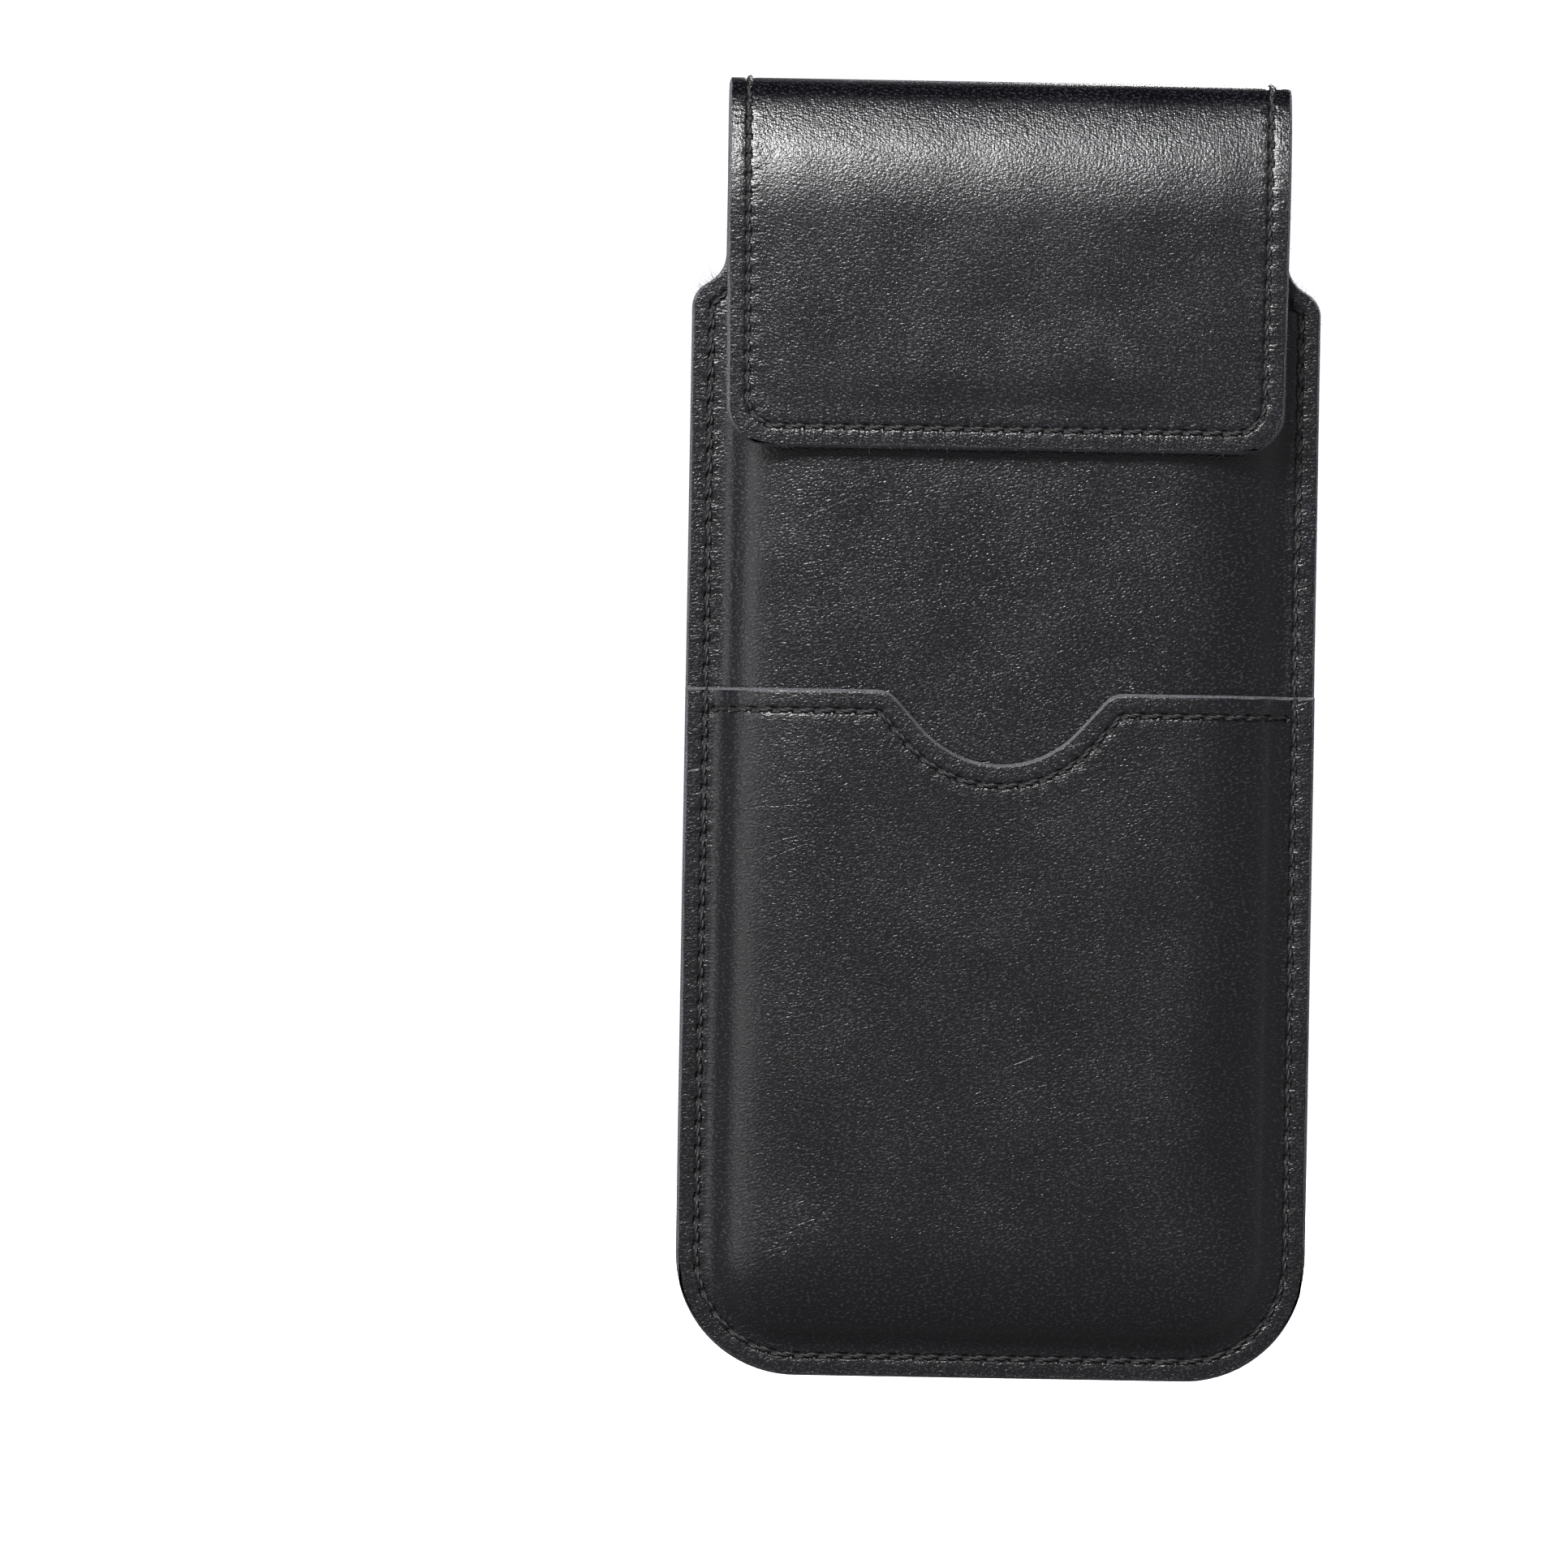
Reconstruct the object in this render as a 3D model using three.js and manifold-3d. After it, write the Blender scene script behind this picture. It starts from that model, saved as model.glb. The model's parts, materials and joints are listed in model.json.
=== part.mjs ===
// A leather belt case for a large phone: a sewn pouch with a fold-over magnetic flap, a card pocket on its
// front, and on its back a belt loop, a D-ring on a tab and a small folded keeper.
//
// Millimetres, +Z up as worn, front towards -Y, back (the wearer's side) towards +Y. The model is drawn with
// z = 0 at the pouch's bottom edge and y = 0 in the seam between the two linings, then moved so that the
// origin is the middle of the belt tunnel.
import * as THREE from "three";
import { mergeVertices } from "three/addons/utils/BufferGeometryUtils.js";
import Module from "manifold-3d";

// ---- Driving dimensions ----------------------------------------------------------------------------------
const BODY_WIDTH = 94;
const NECK_WIDTH = 84;
const HEIGHT = 193.6; // bottom edge to the crown of the flap's fold
const CORNER_RADIUS = 18;
const SHOULDER_FOOT = 159.3; // where the body starts to narrow towards the neck
const SHOULDER_OUTER_RADIUS = 4;
const SHOULDER_INNER_RADIUS = 5;
const MOUTH = 172.6; // top edge of the front panel
const SEAM_INSET = 3.1;

const LEATHER = 1.3;
const LINING = 0.6;
const GLUE = 0.12; // glue line between two layers
const CROWN_START = 4.2; // how far inside the edge a panel starts to rise
const SEAM_CROWN_START = SEAM_INSET + 0.3; // the thread follows a panel's rise from here
const CROWN_RUN = 10; // and over what distance it reaches its full height
const FRONT_CROWN = 5.5;
const BACK_CROWN = 3.5;

const POCKET_HEIGHT = 102.5;
const POCKET_LEATHER = 1.2;
const POCKET_LINING = 0.4;
const POCKET_SLACK = 1; // room for a card, in the middle of the pocket
const POCKET_SEAM_INSET = 3.3;
const NOTCH_DEPTH = 10.8;
const NOTCH_RADIUS = 15.5;
const NOTCH_LIP_RADIUS = 3.6;
const NOTCH_ANGLE = THREE.MathUtils.degToRad(48);

const FLAP_LENGTH = 55.3; // crown to the flap's lower edge
const FLAP_CORNER_RADIUS = 6.5;
const FLAP_CLEARANCE = 0.9; // flap lining to front panel
const FOLD_BACK = { degrees: 15, length: 8 }; // soft start of the fold, on the back
const FOLD_FRONT = { degrees: 25, length: 18 }; // soft end of the fold, on the flap
const FOLD_HINGES = 3;
const FOLD_GAP = 0.3; // between two neighbouring strips of the fold

const MAGNET = { width: 28, height: 10, thickness: 0.8 };
const PLATE = { width: 32, height: 12, thickness: 0.6 };
const MAGNET_ABOVE_FLAP_EDGE = 12.6;
const RECESS_ROOM = 0.1;

const BELT_LOOP_WIDTH = 40;
const BELT_LOOP_FOOT = 98.4;
const BELT_LOOP_TOP = 156.5;
const BELT_LOOP_STANDS = 10.6; // outer face of the loop above the back panel
const BELT_LOOP_LEATHER = 1.2;
const BELT_LOOP_LINING = 0.8;
const BELT_LOOP_SEWN = 7.6; // flat foot that the two bottom rows go through
const BELT_LOOP_LEAN = 14; // degrees, of the outer leg between its sewn foot and its upper part
const BELT_LOOP_BEND = 20;
const BELT_LOOP_INNER_LEG = 8;
const BELT_LOOP_SEAM_INSET = 3.4;
const BELT_LOOP_ROWS = { lower: 2.3, upper: 6.1 }; // above the foot

const KEEPER = { width: 24, top: 177.7, foot: 166.1, leather: 1.6, roll: 2.8, lean: 17.5, bend: 2, row: 3.8 };
const KEEPER_SEAM_WIDTH = 20;

const RING_WIRE = 1.2;
const RING_WIDTH = 12.9;
const RING_RISE = 7.1; // bar's centre to the top of the bow
const RING_CORNER = 1.2;
const RING_BAR_Z = 159.1;
const RING_LEAN = THREE.MathUtils.degToRad(8); // the bow leans back against the panel
const TAB = { width: 10, leather: 0.8, room: 0.45, foot: 148, rise: 153.3, riseHeight: 3.5 };

const THREAD = { width: 0.8, height: 0.5, lift: 0.3 };

// ---- Looks -----------------------------------------------------------------------------------------------
const looks = {
  leather: { color: 0x1c1c20, roughness: 0.45, metalness: 0 },
  lining: { color: 0x202024, roughness: 0.85, metalness: 0 },
  thread: { color: 0x131315, roughness: 0.6, metalness: 0 },
  nickel: { color: 0xcfd0d2, roughness: 0.15, metalness: 1 },
  steel: { color: 0x8d9094, roughness: 0.4, metalness: 1 },
};

// ---- Worked-out sizes ------------------------------------------------------------------------------------
const bodyHalf = BODY_WIDTH / 2;
const neckHalf = NECK_WIDTH / 2;
const shoulderRadii = SHOULDER_OUTER_RADIUS + SHOULDER_INNER_RADIUS;
const shoulderAngle = Math.acos(1 - (bodyHalf - neckHalf) / shoulderRadii);
const shoulderTop = SHOULDER_FOOT + shoulderRadii * Math.sin(shoulderAngle);
const stack = LINING + GLUE + LEATHER;
const edgeFace = GLUE / 2 + stack; // outer face of either panel along its seam, from the middle
const backFace = edgeFace + BACK_CROWN; // outer face of the back panel, away from its seam
const frontFace = edgeFace + FRONT_CROWN; // the same in front, as a distance towards -Y
const pocketEdgeFace = edgeFace + 2 * GLUE + POCKET_LINING + POCKET_LEATHER;
const flapFace = frontFace + FLAP_CLEARANCE + stack;
const flapFoot = HEIGHT - FLAP_LENGTH;

// The fold is three tangent arcs: soft, tight, soft. The tight one takes what is left of the depth.
const rad = THREE.MathUtils.degToRad;
const softBackRadius = FOLD_BACK.length / rad(FOLD_BACK.degrees);
const softFrontRadius = FOLD_FRONT.length / rad(FOLD_FRONT.degrees);
const cosBack = Math.cos(rad(FOLD_BACK.degrees));
const cosFront = Math.cos(rad(FOLD_FRONT.degrees));
const foldDepth = backFace + flapFace - softBackRadius * (1 - cosBack) - softFrontRadius * (1 - cosFront);
const foldRadius = foldDepth / (cosBack + cosFront);
const sinBack = Math.sin(rad(FOLD_BACK.degrees));
const foldStart = HEIGHT - softBackRadius * sinBack - foldRadius * (1 - sinBack);
const tightDegrees = 180 - FOLD_BACK.degrees - FOLD_FRONT.degrees;
const hingeDegrees = tightDegrees / FOLD_HINGES;
const gapDegrees = THREE.MathUtils.radToDeg(FOLD_GAP / foldRadius);
const flapFlatTop = flapFoot + 32; // the flap is flat from its lower edge to here
const beltCentre = new THREE.Vector3(0, backFace + 2.8, 132); // middle of the belt tunnel

// ---- Small helpers ---------------------------------------------------------------------------------------
const smooth = (t) => THREE.MathUtils.smoothstep(t, 0, 1);
const lerp = THREE.MathUtils.lerp;
const range = (count, at) => Array.from({ length: count + 1 }, (_, i) => at(i / count));

function named(name, geometry, look) {
  const mesh = new THREE.Mesh(geometry, new THREE.MeshStandardMaterial(looks[look]));
  mesh.name = name;
  return mesh;
}

/** A sheet of leather: a box one cell thick, with each corner of its grid put where pointAt says. */
function bentSheet(columns, rows, pointAt) {
  const geometry = new THREE.BoxGeometry(1, 1, 1, columns.length - 1, rows.length - 1, 1);
  const position = geometry.getAttribute("position");
  const point = new THREE.Vector3();
  for (let i = 0; i < position.count; i++) {
    const column = columns[Math.round((position.getX(i) + 0.5) * (columns.length - 1))];
    const row = rows[Math.round((position.getY(i) + 0.5) * (rows.length - 1))];
    pointAt(point, column, row, position.getZ(i) > 0);
    position.setXYZ(i, point.x, point.y, point.z);
  }
  matchDiagonals(geometry);
  geometry.computeVertexNormals();
  return geometry;
}

/** A box splits the cells of its last side along the other diagonal. Turned round, both faces of a sheet bend
    alike, and layers with the same grid lie one in the other. */
function matchDiagonals(geometry) {
  const corners = geometry.index.array;
  const last = geometry.groups[geometry.groups.length - 1];
  for (let i = last.start; i < last.start + last.count; i += 6) {
    const [a, b, d, , c] = corners.slice(i, i + 6);
    corners.set([a, b, c, a, c, d], i);
  }
}

/** A line in the YZ plane, walked from station to station. Heading 0 is up, and a positive turn leads up,
    over and down in front. Each station keeps the normal on the line's outer side. */
class Route {
  constructor(y, z, headingDegrees = 0) {
    this.stations = [];
    this.y = y;
    this.z = z;
    this.heading = rad(headingDegrees);
    this.mark();
  }
  mark() {
    const ny = Math.cos(this.heading);
    const nz = Math.sin(this.heading);
    this.stations.push({ y: this.y, z: this.z, ny, nz });
  }
  straight(length, steps = 1) {
    for (let i = 0; i < steps; i++) {
      this.y -= (Math.sin(this.heading) * length) / steps;
      this.z += (Math.cos(this.heading) * length) / steps;
      this.mark();
    }
    return this;
  }
  turn(degrees, radius, steps) {
    const signed = Math.sign(degrees) * radius;
    const centreY = this.y - Math.cos(this.heading) * signed;
    const centreZ = this.z - Math.sin(this.heading) * signed;
    for (let i = 0; i < steps; i++) {
      this.heading += rad(degrees) / steps;
      this.y = centreY + Math.cos(this.heading) * signed;
      this.z = centreZ + Math.sin(this.heading) * signed;
      this.mark();
    }
    return this;
  }
}

/** A strip of even width across X, whose side view is the band between two depths inside a route. */
function strip(stations, nearDepth, farDepth, width, middle = 0) {
  const along = (depth) => stations.map((s) => new THREE.Vector2(s.y - s.ny * depth, s.z - s.nz * depth));
  const outline = new THREE.Shape([...along(nearDepth), ...along(farDepth).reverse()]);
  const geometry = new THREE.ExtrudeGeometry(outline, { depth: width, bevelEnabled: false });
  const [across, outwards, upwards] = [0, 1, 2].map((i) => new THREE.Vector3().setComponent(i, 1));
  geometry.applyMatrix4(new THREE.Matrix4().makeBasis(outwards, upwards, across));
  return geometry.translate(middle - width / 2, 0, 0);
}

/** A thread as a strip that lies on the outer side of a route. */
function threadOnStrip(stations, width, middle = 0) {
  return strip(stations, -THREAD.lift - THREAD.height, -THREAD.lift, width, middle);
}

/** A thread as a thin flat band along points of a panel's face, standing off it towards -Y or +Y. */
function threadBand(points, towards) {
  const rows = points.map((point, i) => {
    const before = points[Math.max(i - 1, 0)];
    const after = points[Math.min(i + 1, points.length - 1)];
    const sideways = new THREE.Vector3(before.z - after.z, 0, after.x - before.x);
    return { point, sideways: sideways.setLength(THREAD.width / 2) };
  });
  return bentSheet([1, -1], rows, (out, side, row, nearFront) => {
    const outer = nearFront === towards < 0;
    out.copy(row.point).addScaledVector(row.sideways, side);
    out.y += towards * (THREAD.lift + (outer ? THREAD.height : 0));
  });
}

// ---- Cutting ---------------------------------------------------------------------------------------------
const wasm = await Module();
wasm.setup();

function solidOf(geometry) {
  const bare = geometry.clone().deleteAttribute("normal").deleteAttribute("uv");
  const merged = mergeVertices(bare, 1e-4);
  const triVerts = Uint32Array.from(merged.index.array);
  const vertProperties = merged.attributes.position.array;
  return new wasm.Manifold(new wasm.Mesh({ numProp: 3, vertProperties, triVerts }));
}

function cutFrom(geometry, tool) {
  const mesh = solidOf(geometry).subtract(solidOf(tool)).getMesh();
  const cut = new THREE.BufferGeometry();
  cut.setAttribute("position", new THREE.BufferAttribute(mesh.vertProperties, 3));
  cut.setIndex(new THREE.BufferAttribute(mesh.triVerts, 1));
  cut.computeVertexNormals();
  return cut;
}

/** A flat bar that lies in a recess: the bar itself, and the larger box that is cut away for it. */
function recessedBar(bar, coverY, z) {
  const room = 2 * RECESS_ROOM;
  const depth = bar.thickness + RECESS_ROOM;
  const middle = coverY - RECESS_ROOM / 2 - bar.thickness / 2;
  const recess = new THREE.BoxGeometry(bar.width + room, 2 * depth, bar.height + room);
  return {
    bar: new THREE.BoxGeometry(bar.width, bar.thickness, bar.height).translate(0, middle, z),
    recess: recess.translate(0, coverY, z),
  };
}

// ---- Outlines --------------------------------------------------------------------------------------------
/** Half the case's width at a height: round bottom corners, straight sides, and the S of each shoulder. */
function halfWidth(z) {
  if (z < CORNER_RADIUS) {
    return bodyHalf - CORNER_RADIUS + Math.sqrt(CORNER_RADIUS ** 2 - (CORNER_RADIUS - z) ** 2);
  }
  const up = z - SHOULDER_FOOT;
  if (up <= 0) return bodyHalf;
  if (z >= shoulderTop) return neckHalf;
  if (up < SHOULDER_OUTER_RADIUS * Math.sin(shoulderAngle)) {
    return bodyHalf - SHOULDER_OUTER_RADIUS + Math.sqrt(SHOULDER_OUTER_RADIUS ** 2 - up ** 2);
  }
  return neckHalf + SHOULDER_INNER_RADIUS - Math.sqrt(SHOULDER_INNER_RADIUS ** 2 - (shoulderTop - z) ** 2);
}

/** The perimeter seam: down from the top right, round the bottom and up to the top left. */
function seamLine(top, stops = []) {
  const path = new THREE.Path();
  const side = bodyHalf - SEAM_INSET;
  const neck = neckHalf - SEAM_INSET;
  const inner = SHOULDER_INNER_RADIUS + SEAM_INSET;
  const outer = SHOULDER_OUTER_RADIUS - SEAM_INSET;
  const corner = CORNER_RADIUS - SEAM_INSET;
  const cornerX = bodyHalf - CORNER_RADIUS;
  const innerX = neckHalf + SHOULDER_INNER_RADIUS;
  const outerX = bodyHalf - SHOULDER_OUTER_RADIUS;
  path.moveTo(neck, top);
  path.lineTo(neck, shoulderTop);
  path.absarc(innerX, shoulderTop, inner, Math.PI, Math.PI + shoulderAngle, false);
  path.absarc(outerX, SHOULDER_FOOT, outer, shoulderAngle, 0, true);
  for (const z of stops) path.lineTo(side, z);
  path.absarc(cornerX, CORNER_RADIUS, corner, 0, -Math.PI / 2, true);
  path.absarc(-cornerX, CORNER_RADIUS, corner, -Math.PI / 2, -Math.PI, true);
  for (const z of [...stops].reverse()) path.lineTo(-side, z);
  path.absarc(-outerX, SHOULDER_FOOT, outer, Math.PI, Math.PI - shoulderAngle, true);
  path.absarc(-innerX, shoulderTop, inner, -shoulderAngle, 0, false);
  path.lineTo(-neck, top);
  return path.getPoints(6);
}

/** From 0 near the sewn edges to 1 in the middle of a panel. */
function crown(x, z, start = CROWN_START) {
  const overSide = Math.abs(x) - (halfWidth(Math.max(z, CORNER_RADIUS)) - CORNER_RADIUS);
  const overFoot = CORNER_RADIUS - z;
  const corner = Math.hypot(Math.max(overSide, 0), Math.max(overFoot, 0));
  const inside = CORNER_RADIUS - corner - Math.min(Math.max(overSide, overFoot), 0);
  return smooth((inside - start) / CROWN_RUN);
}

/** How far the card pocket's edge dips below its straight lip. */
function notchDip(x) {
  const away = Math.abs(x);
  const sine = Math.sin(NOTCH_ANGLE);
  const cosine = Math.cos(NOTCH_ANGLE);
  const arcEnd = NOTCH_RADIUS * sine;
  const arcEndDip = NOTCH_DEPTH - NOTCH_RADIUS * (1 - cosine);
  const lipStartDip = NOTCH_LIP_RADIUS * (1 - cosine);
  const lipStart = arcEnd + (arcEndDip - lipStartDip) / Math.tan(NOTCH_ANGLE);
  const lipEnd = lipStart + NOTCH_LIP_RADIUS * sine;
  if (away < arcEnd) return NOTCH_DEPTH - NOTCH_RADIUS + Math.sqrt(NOTCH_RADIUS ** 2 - away ** 2);
  if (away < lipStart) return arcEndDip - (away - arcEnd) * Math.tan(NOTCH_ANGLE);
  if (away < lipEnd) return NOTCH_LIP_RADIUS - Math.sqrt(NOTCH_LIP_RADIUS ** 2 - (lipEnd - away) ** 2);
  return 0;
}

// ---- Panels ----------------------------------------------------------------------------------------------
// Columns of a panel as shares of its half width, close together where the panel rises.
const shares = [0.3, 0.66, 0.735, 0.8, 0.86, 0.92, 1];
const columns = [...shares.map((s) => -s).reverse(), 0, ...shares];
const cornerRows = range(6, (t) => CORNER_RADIUS * (1 - Math.cos((t * Math.PI) / 2)));
const sideRows = [24, 62, 100, 146, SHOULDER_FOOT];
const shoulderRows = range(5, (t) => lerp(SHOULDER_FOOT, shoulderTop, t)).slice(1);
const bodyRows = [...cornerRows, ...sideRows, ...shoulderRows, MOUTH];
const neckRows = range(3, (t) => lerp(MOUTH, foldStart, t)).slice(1);

/** A layer of the front panel between two depths, counted from the seam towards the front. */
function frontSheet(near, far) {
  return bentSheet(columns, bodyRows, (out, share, z, nearFront) => {
    const x = share * halfWidth(z);
    out.set(x, -(nearFront ? far : near) - FRONT_CROWN * crown(x, z), z);
  });
}

/** A layer of the back panel between two depths, counted inwards from its outer face. It runs on into the
    first part of the fold, up to the rear hinge line. */
function backSheet(near, far) {
  const start = new Route(backFace, foldStart).turn(FOLD_BACK.degrees, softBackRadius, 2);
  start.turn((hingeDegrees - gapDegrees) / 2, foldRadius, 3);
  const rows = [...bodyRows, ...neckRows, ...start.stations.slice(1)];
  return bentSheet(columns, rows, (out, share, row, nearFront) => {
    const depth = nearFront ? far : near;
    if (typeof row === "number") {
      const x = share * halfWidth(row);
      const free = smooth((row - MOUTH) / (foldStart - MOUTH));
      const rise = BACK_CROWN * lerp(crown(x, row), 1, free);
      out.set(x, edgeFace + rise - depth, row);
    } else {
      out.set(share * neckHalf, row.y - row.ny * depth, row.z - row.nz * depth);
    }
  });
}

/** Stations of the fold from one hinge line to the next. */
function foldStations(hinge) {
  const route = new Route(backFace, foldStart).turn(FOLD_BACK.degrees, softBackRadius, 1);
  route.turn(hingeDegrees * (hinge + 0.5) + gapDegrees / 2, foldRadius, 1);
  const first = route.stations.length - 1;
  route.turn(hingeDegrees - gapDegrees, foldRadius, 6);
  return route.stations.slice(first);
}

/** Stations of the flap, from the front hinge line down to its lower edge. */
function flapStations() {
  const route = new Route(backFace, foldStart).turn(FOLD_BACK.degrees, softBackRadius, 1);
  route.turn(hingeDegrees * (FOLD_HINGES - 0.5) + gapDegrees / 2, foldRadius, 1);
  const first = route.stations.length - 1;
  route.turn((hingeDegrees - gapDegrees) / 2, foldRadius, 3).turn(FOLD_FRONT.degrees, softFrontRadius, 4);
  route.straight(route.z - flapFoot - FLAP_CORNER_RADIUS, 3);
  for (const t of range(4, (share) => share).slice(1)) {
    const nextZ = flapFoot + FLAP_CORNER_RADIUS * (1 - Math.sin((t * Math.PI) / 2));
    route.straight(route.z - nextZ);
  }
  return route.stations.slice(first);
}

function flapHalfWidth(z) {
  const below = Math.min(Math.max(flapFoot + FLAP_CORNER_RADIUS - z, 0), FLAP_CORNER_RADIUS);
  return neckHalf - FLAP_CORNER_RADIUS + Math.sqrt(FLAP_CORNER_RADIUS ** 2 - below ** 2);
}

/** A layer of the flap between two depths, counted inwards from its outer face. */
function flapSheet(near, far) {
  const flapColumns = range(4, (t) => lerp(1, -1, t));
  return bentSheet(flapColumns, flapStations(), (out, share, row, nearFront) => {
    const depth = nearFront ? near : far;
    out.set(share * flapHalfWidth(row.z), row.y - row.ny * depth, row.z - row.nz * depth);
  });
}

/** The line of the flap's stitches: down its right side, across and up its left side. */
function flapSeamPoints(y) {
  const side = neckHalf - SEAM_INSET;
  const corner = FLAP_CORNER_RADIUS - SEAM_INSET + 1;
  const low = flapFoot + SEAM_INSET;
  const path = new THREE.Path();
  path.moveTo(side, flapFlatTop);
  path.lineTo(side, low + corner);
  path.absarc(side - corner, low + corner, corner, 0, -Math.PI / 2, true);
  path.absarc(corner - side, low + corner, corner, -Math.PI / 2, -Math.PI, true);
  path.lineTo(-side, flapFlatTop);
  return path.getPoints(4).map((p) => new THREE.Vector3(p.x, y, p.y));
}

// ---- Card pocket -----------------------------------------------------------------------------------------
function pocketDepth(x, z) {
  return (FRONT_CROWN + POCKET_SLACK) * crown(x, z, CROWN_START - 0.8);
}

/** A layer of the card pocket between two depths, counted from the seam towards the front. */
function pocketSheet(near, far) {
  const cornerX = bodyHalf - CORNER_RADIUS;
  const outerColumns = range(6, (t) => cornerX + CORNER_RADIUS * Math.sin((t * Math.PI) / 2));
  const notchColumns = range(5, (t) => 20 * t).slice(1);
  const right = [...notchColumns, ...outerColumns];
  const pocketColumns = [...right.map((x) => -x).reverse(), 0, ...right];
  const heights = [0, 0.04, 0.08, 0.12, 0.17, 0.24, 0.6, 1];
  return bentSheet(pocketColumns, heights, (out, x, height, nearFront) => {
    const over = Math.max(Math.abs(x) - cornerX, 0);
    const foot = CORNER_RADIUS - Math.sqrt(Math.max(CORNER_RADIUS ** 2 - over ** 2, 0));
    const z = lerp(foot, POCKET_HEIGHT - notchDip(x), height);
    out.set(x, -(nearFront ? far : near) - pocketDepth(x, z), z);
  });
}

/** The pocket's stitch line: a parallel of its lip, with the notch. */
function pocketSeamPoints() {
  const reach = bodyHalf - SEAM_INSET - 2 * THREAD.width;
  const slopeStep = 0.05;
  return range(48, (t) => {
    const x = lerp(reach, -reach, t);
    const slope = (notchDip(x + slopeStep) - notchDip(x - slopeStep)) / (2 * slopeStep);
    const shift = POCKET_SEAM_INSET / Math.hypot(1, slope);
    const at = new THREE.Vector3(x - shift * slope, 0, POCKET_HEIGHT - notchDip(x) - shift);
    at.y = -pocketEdgeFace - pocketDepth(at.x, at.z);
    return at;
  });
}

// ---- Belt loop, D-ring and keeper ------------------------------------------------------------------------
const beltStack = BELT_LOOP_LINING + GLUE + BELT_LOOP_LEATHER;
const tabStack = 2 * (TAB.leather + GLUE);

function beltLoopRoute() {
  const rise = BELT_LOOP_STANDS - beltStack - GLUE;
  const lean = rad(BELT_LOOP_LEAN);
  const slope = (rise - 2 * BELT_LOOP_BEND * (1 - Math.cos(lean))) / Math.sin(lean);
  const roll = (BELT_LOOP_STANDS - tabStack - GLUE) / 2;
  const route = new Route(backFace + GLUE + beltStack, BELT_LOOP_FOOT).straight(BELT_LOOP_SEWN);
  route.turn(-BELT_LOOP_LEAN, BELT_LOOP_BEND, 3).straight(slope).turn(BELT_LOOP_LEAN, BELT_LOOP_BEND, 3);
  route.straight(BELT_LOOP_TOP - roll - route.z);
  const overTop = route.stations.length + 5;
  route.turn(180, roll, 10).straight(BELT_LOOP_INNER_LEG);
  return { stations: route.stations, outerLeg: route.stations.slice(1, overTop) };
}

function beltLoopRow(above) {
  const route = new Route(backFace + GLUE + beltStack, BELT_LOOP_FOOT + above - THREAD.width / 2);
  return route.straight(THREAD.width).stations;
}

function ringTab(bar) {
  const roll = RING_WIRE / 2 + TAB.room + TAB.leather;
  const rise = bar.y + roll - backFace - tabStack;
  const angle = 2 * Math.atan(rise / TAB.riseHeight);
  const bend = TAB.riseHeight / 2 / Math.sin(angle);
  const degrees = THREE.MathUtils.radToDeg(angle);
  const route = new Route(backFace + tabStack, TAB.foot).straight(TAB.rise - TAB.foot);
  route.turn(-degrees, bend, 3).turn(degrees, bend, 3);
  route.straight(bar.z - route.z).turn(180, roll, 10).straight(bar.z - TAB.foot);
  return strip(route.stations, 0, TAB.leather, TAB.width);
}

/** The ring's wire, bent to a D and open by a hair in the middle of its bar. */
function ringWire() {
  const bow = (RING_WIDTH - RING_WIRE) / 2;
  const bowZ = RING_RISE - RING_WIRE / 2 - bow;
  const cornerX = Math.sqrt((bow - RING_CORNER) ** 2 - (RING_CORNER - bowZ) ** 2);
  const lean = Math.atan2(RING_CORNER - bowZ, cornerX);
  const split = 0.05;
  const path = new THREE.Path();
  path.moveTo(split, 0);
  path.lineTo(cornerX / 2, 0);
  path.absarc(cornerX, RING_CORNER, RING_CORNER, -Math.PI / 2, lean, false);
  path.absarc(0, bowZ, bow, lean, Math.PI - lean, false);
  path.absarc(-cornerX, RING_CORNER, RING_CORNER, Math.PI - lean, (3 * Math.PI) / 2, false);
  path.lineTo(-cornerX / 2, 0);
  path.lineTo(-split, 0);
  const bends = path.getPoints(5).map((p) => new THREE.Vector3(p.x, 0, p.y));
  const distinct = bends.filter((p, i) => i === 0 || p.distanceTo(bends[i - 1]) > 1e-3);
  const section = new THREE.Shape().absarc(0, 0, RING_WIRE / 2, 0, 2 * Math.PI, false);
  const extrudePath = new THREE.CatmullRomCurve3(distinct);
  return new THREE.ExtrudeGeometry(section, { steps: 36, curveSegments: 4, extrudePath });
}

function keeperRoute() {
  const foot = backFace + 2 * (GLUE + KEEPER.leather);
  const lean = rad(KEEPER.lean);
  const rise = backFace + GLUE + 2 * KEEPER.roll - foot;
  const slope = (rise - KEEPER.bend * (1 - Math.cos(lean))) / Math.sin(lean);
  const route = new Route(foot, KEEPER.foot, -KEEPER.lean).straight(slope).turn(KEEPER.lean, KEEPER.bend, 2);
  route.straight(KEEPER.top - KEEPER.roll - route.z).turn(180, KEEPER.roll, 10);
  route.straight(route.z - KEEPER.foot);
  const row = new Route(foot, KEEPER.foot, -KEEPER.lean).straight(KEEPER.row).straight(THREAD.width);
  return { stations: route.stations, row: row.stations.slice(1) };
}

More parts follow.
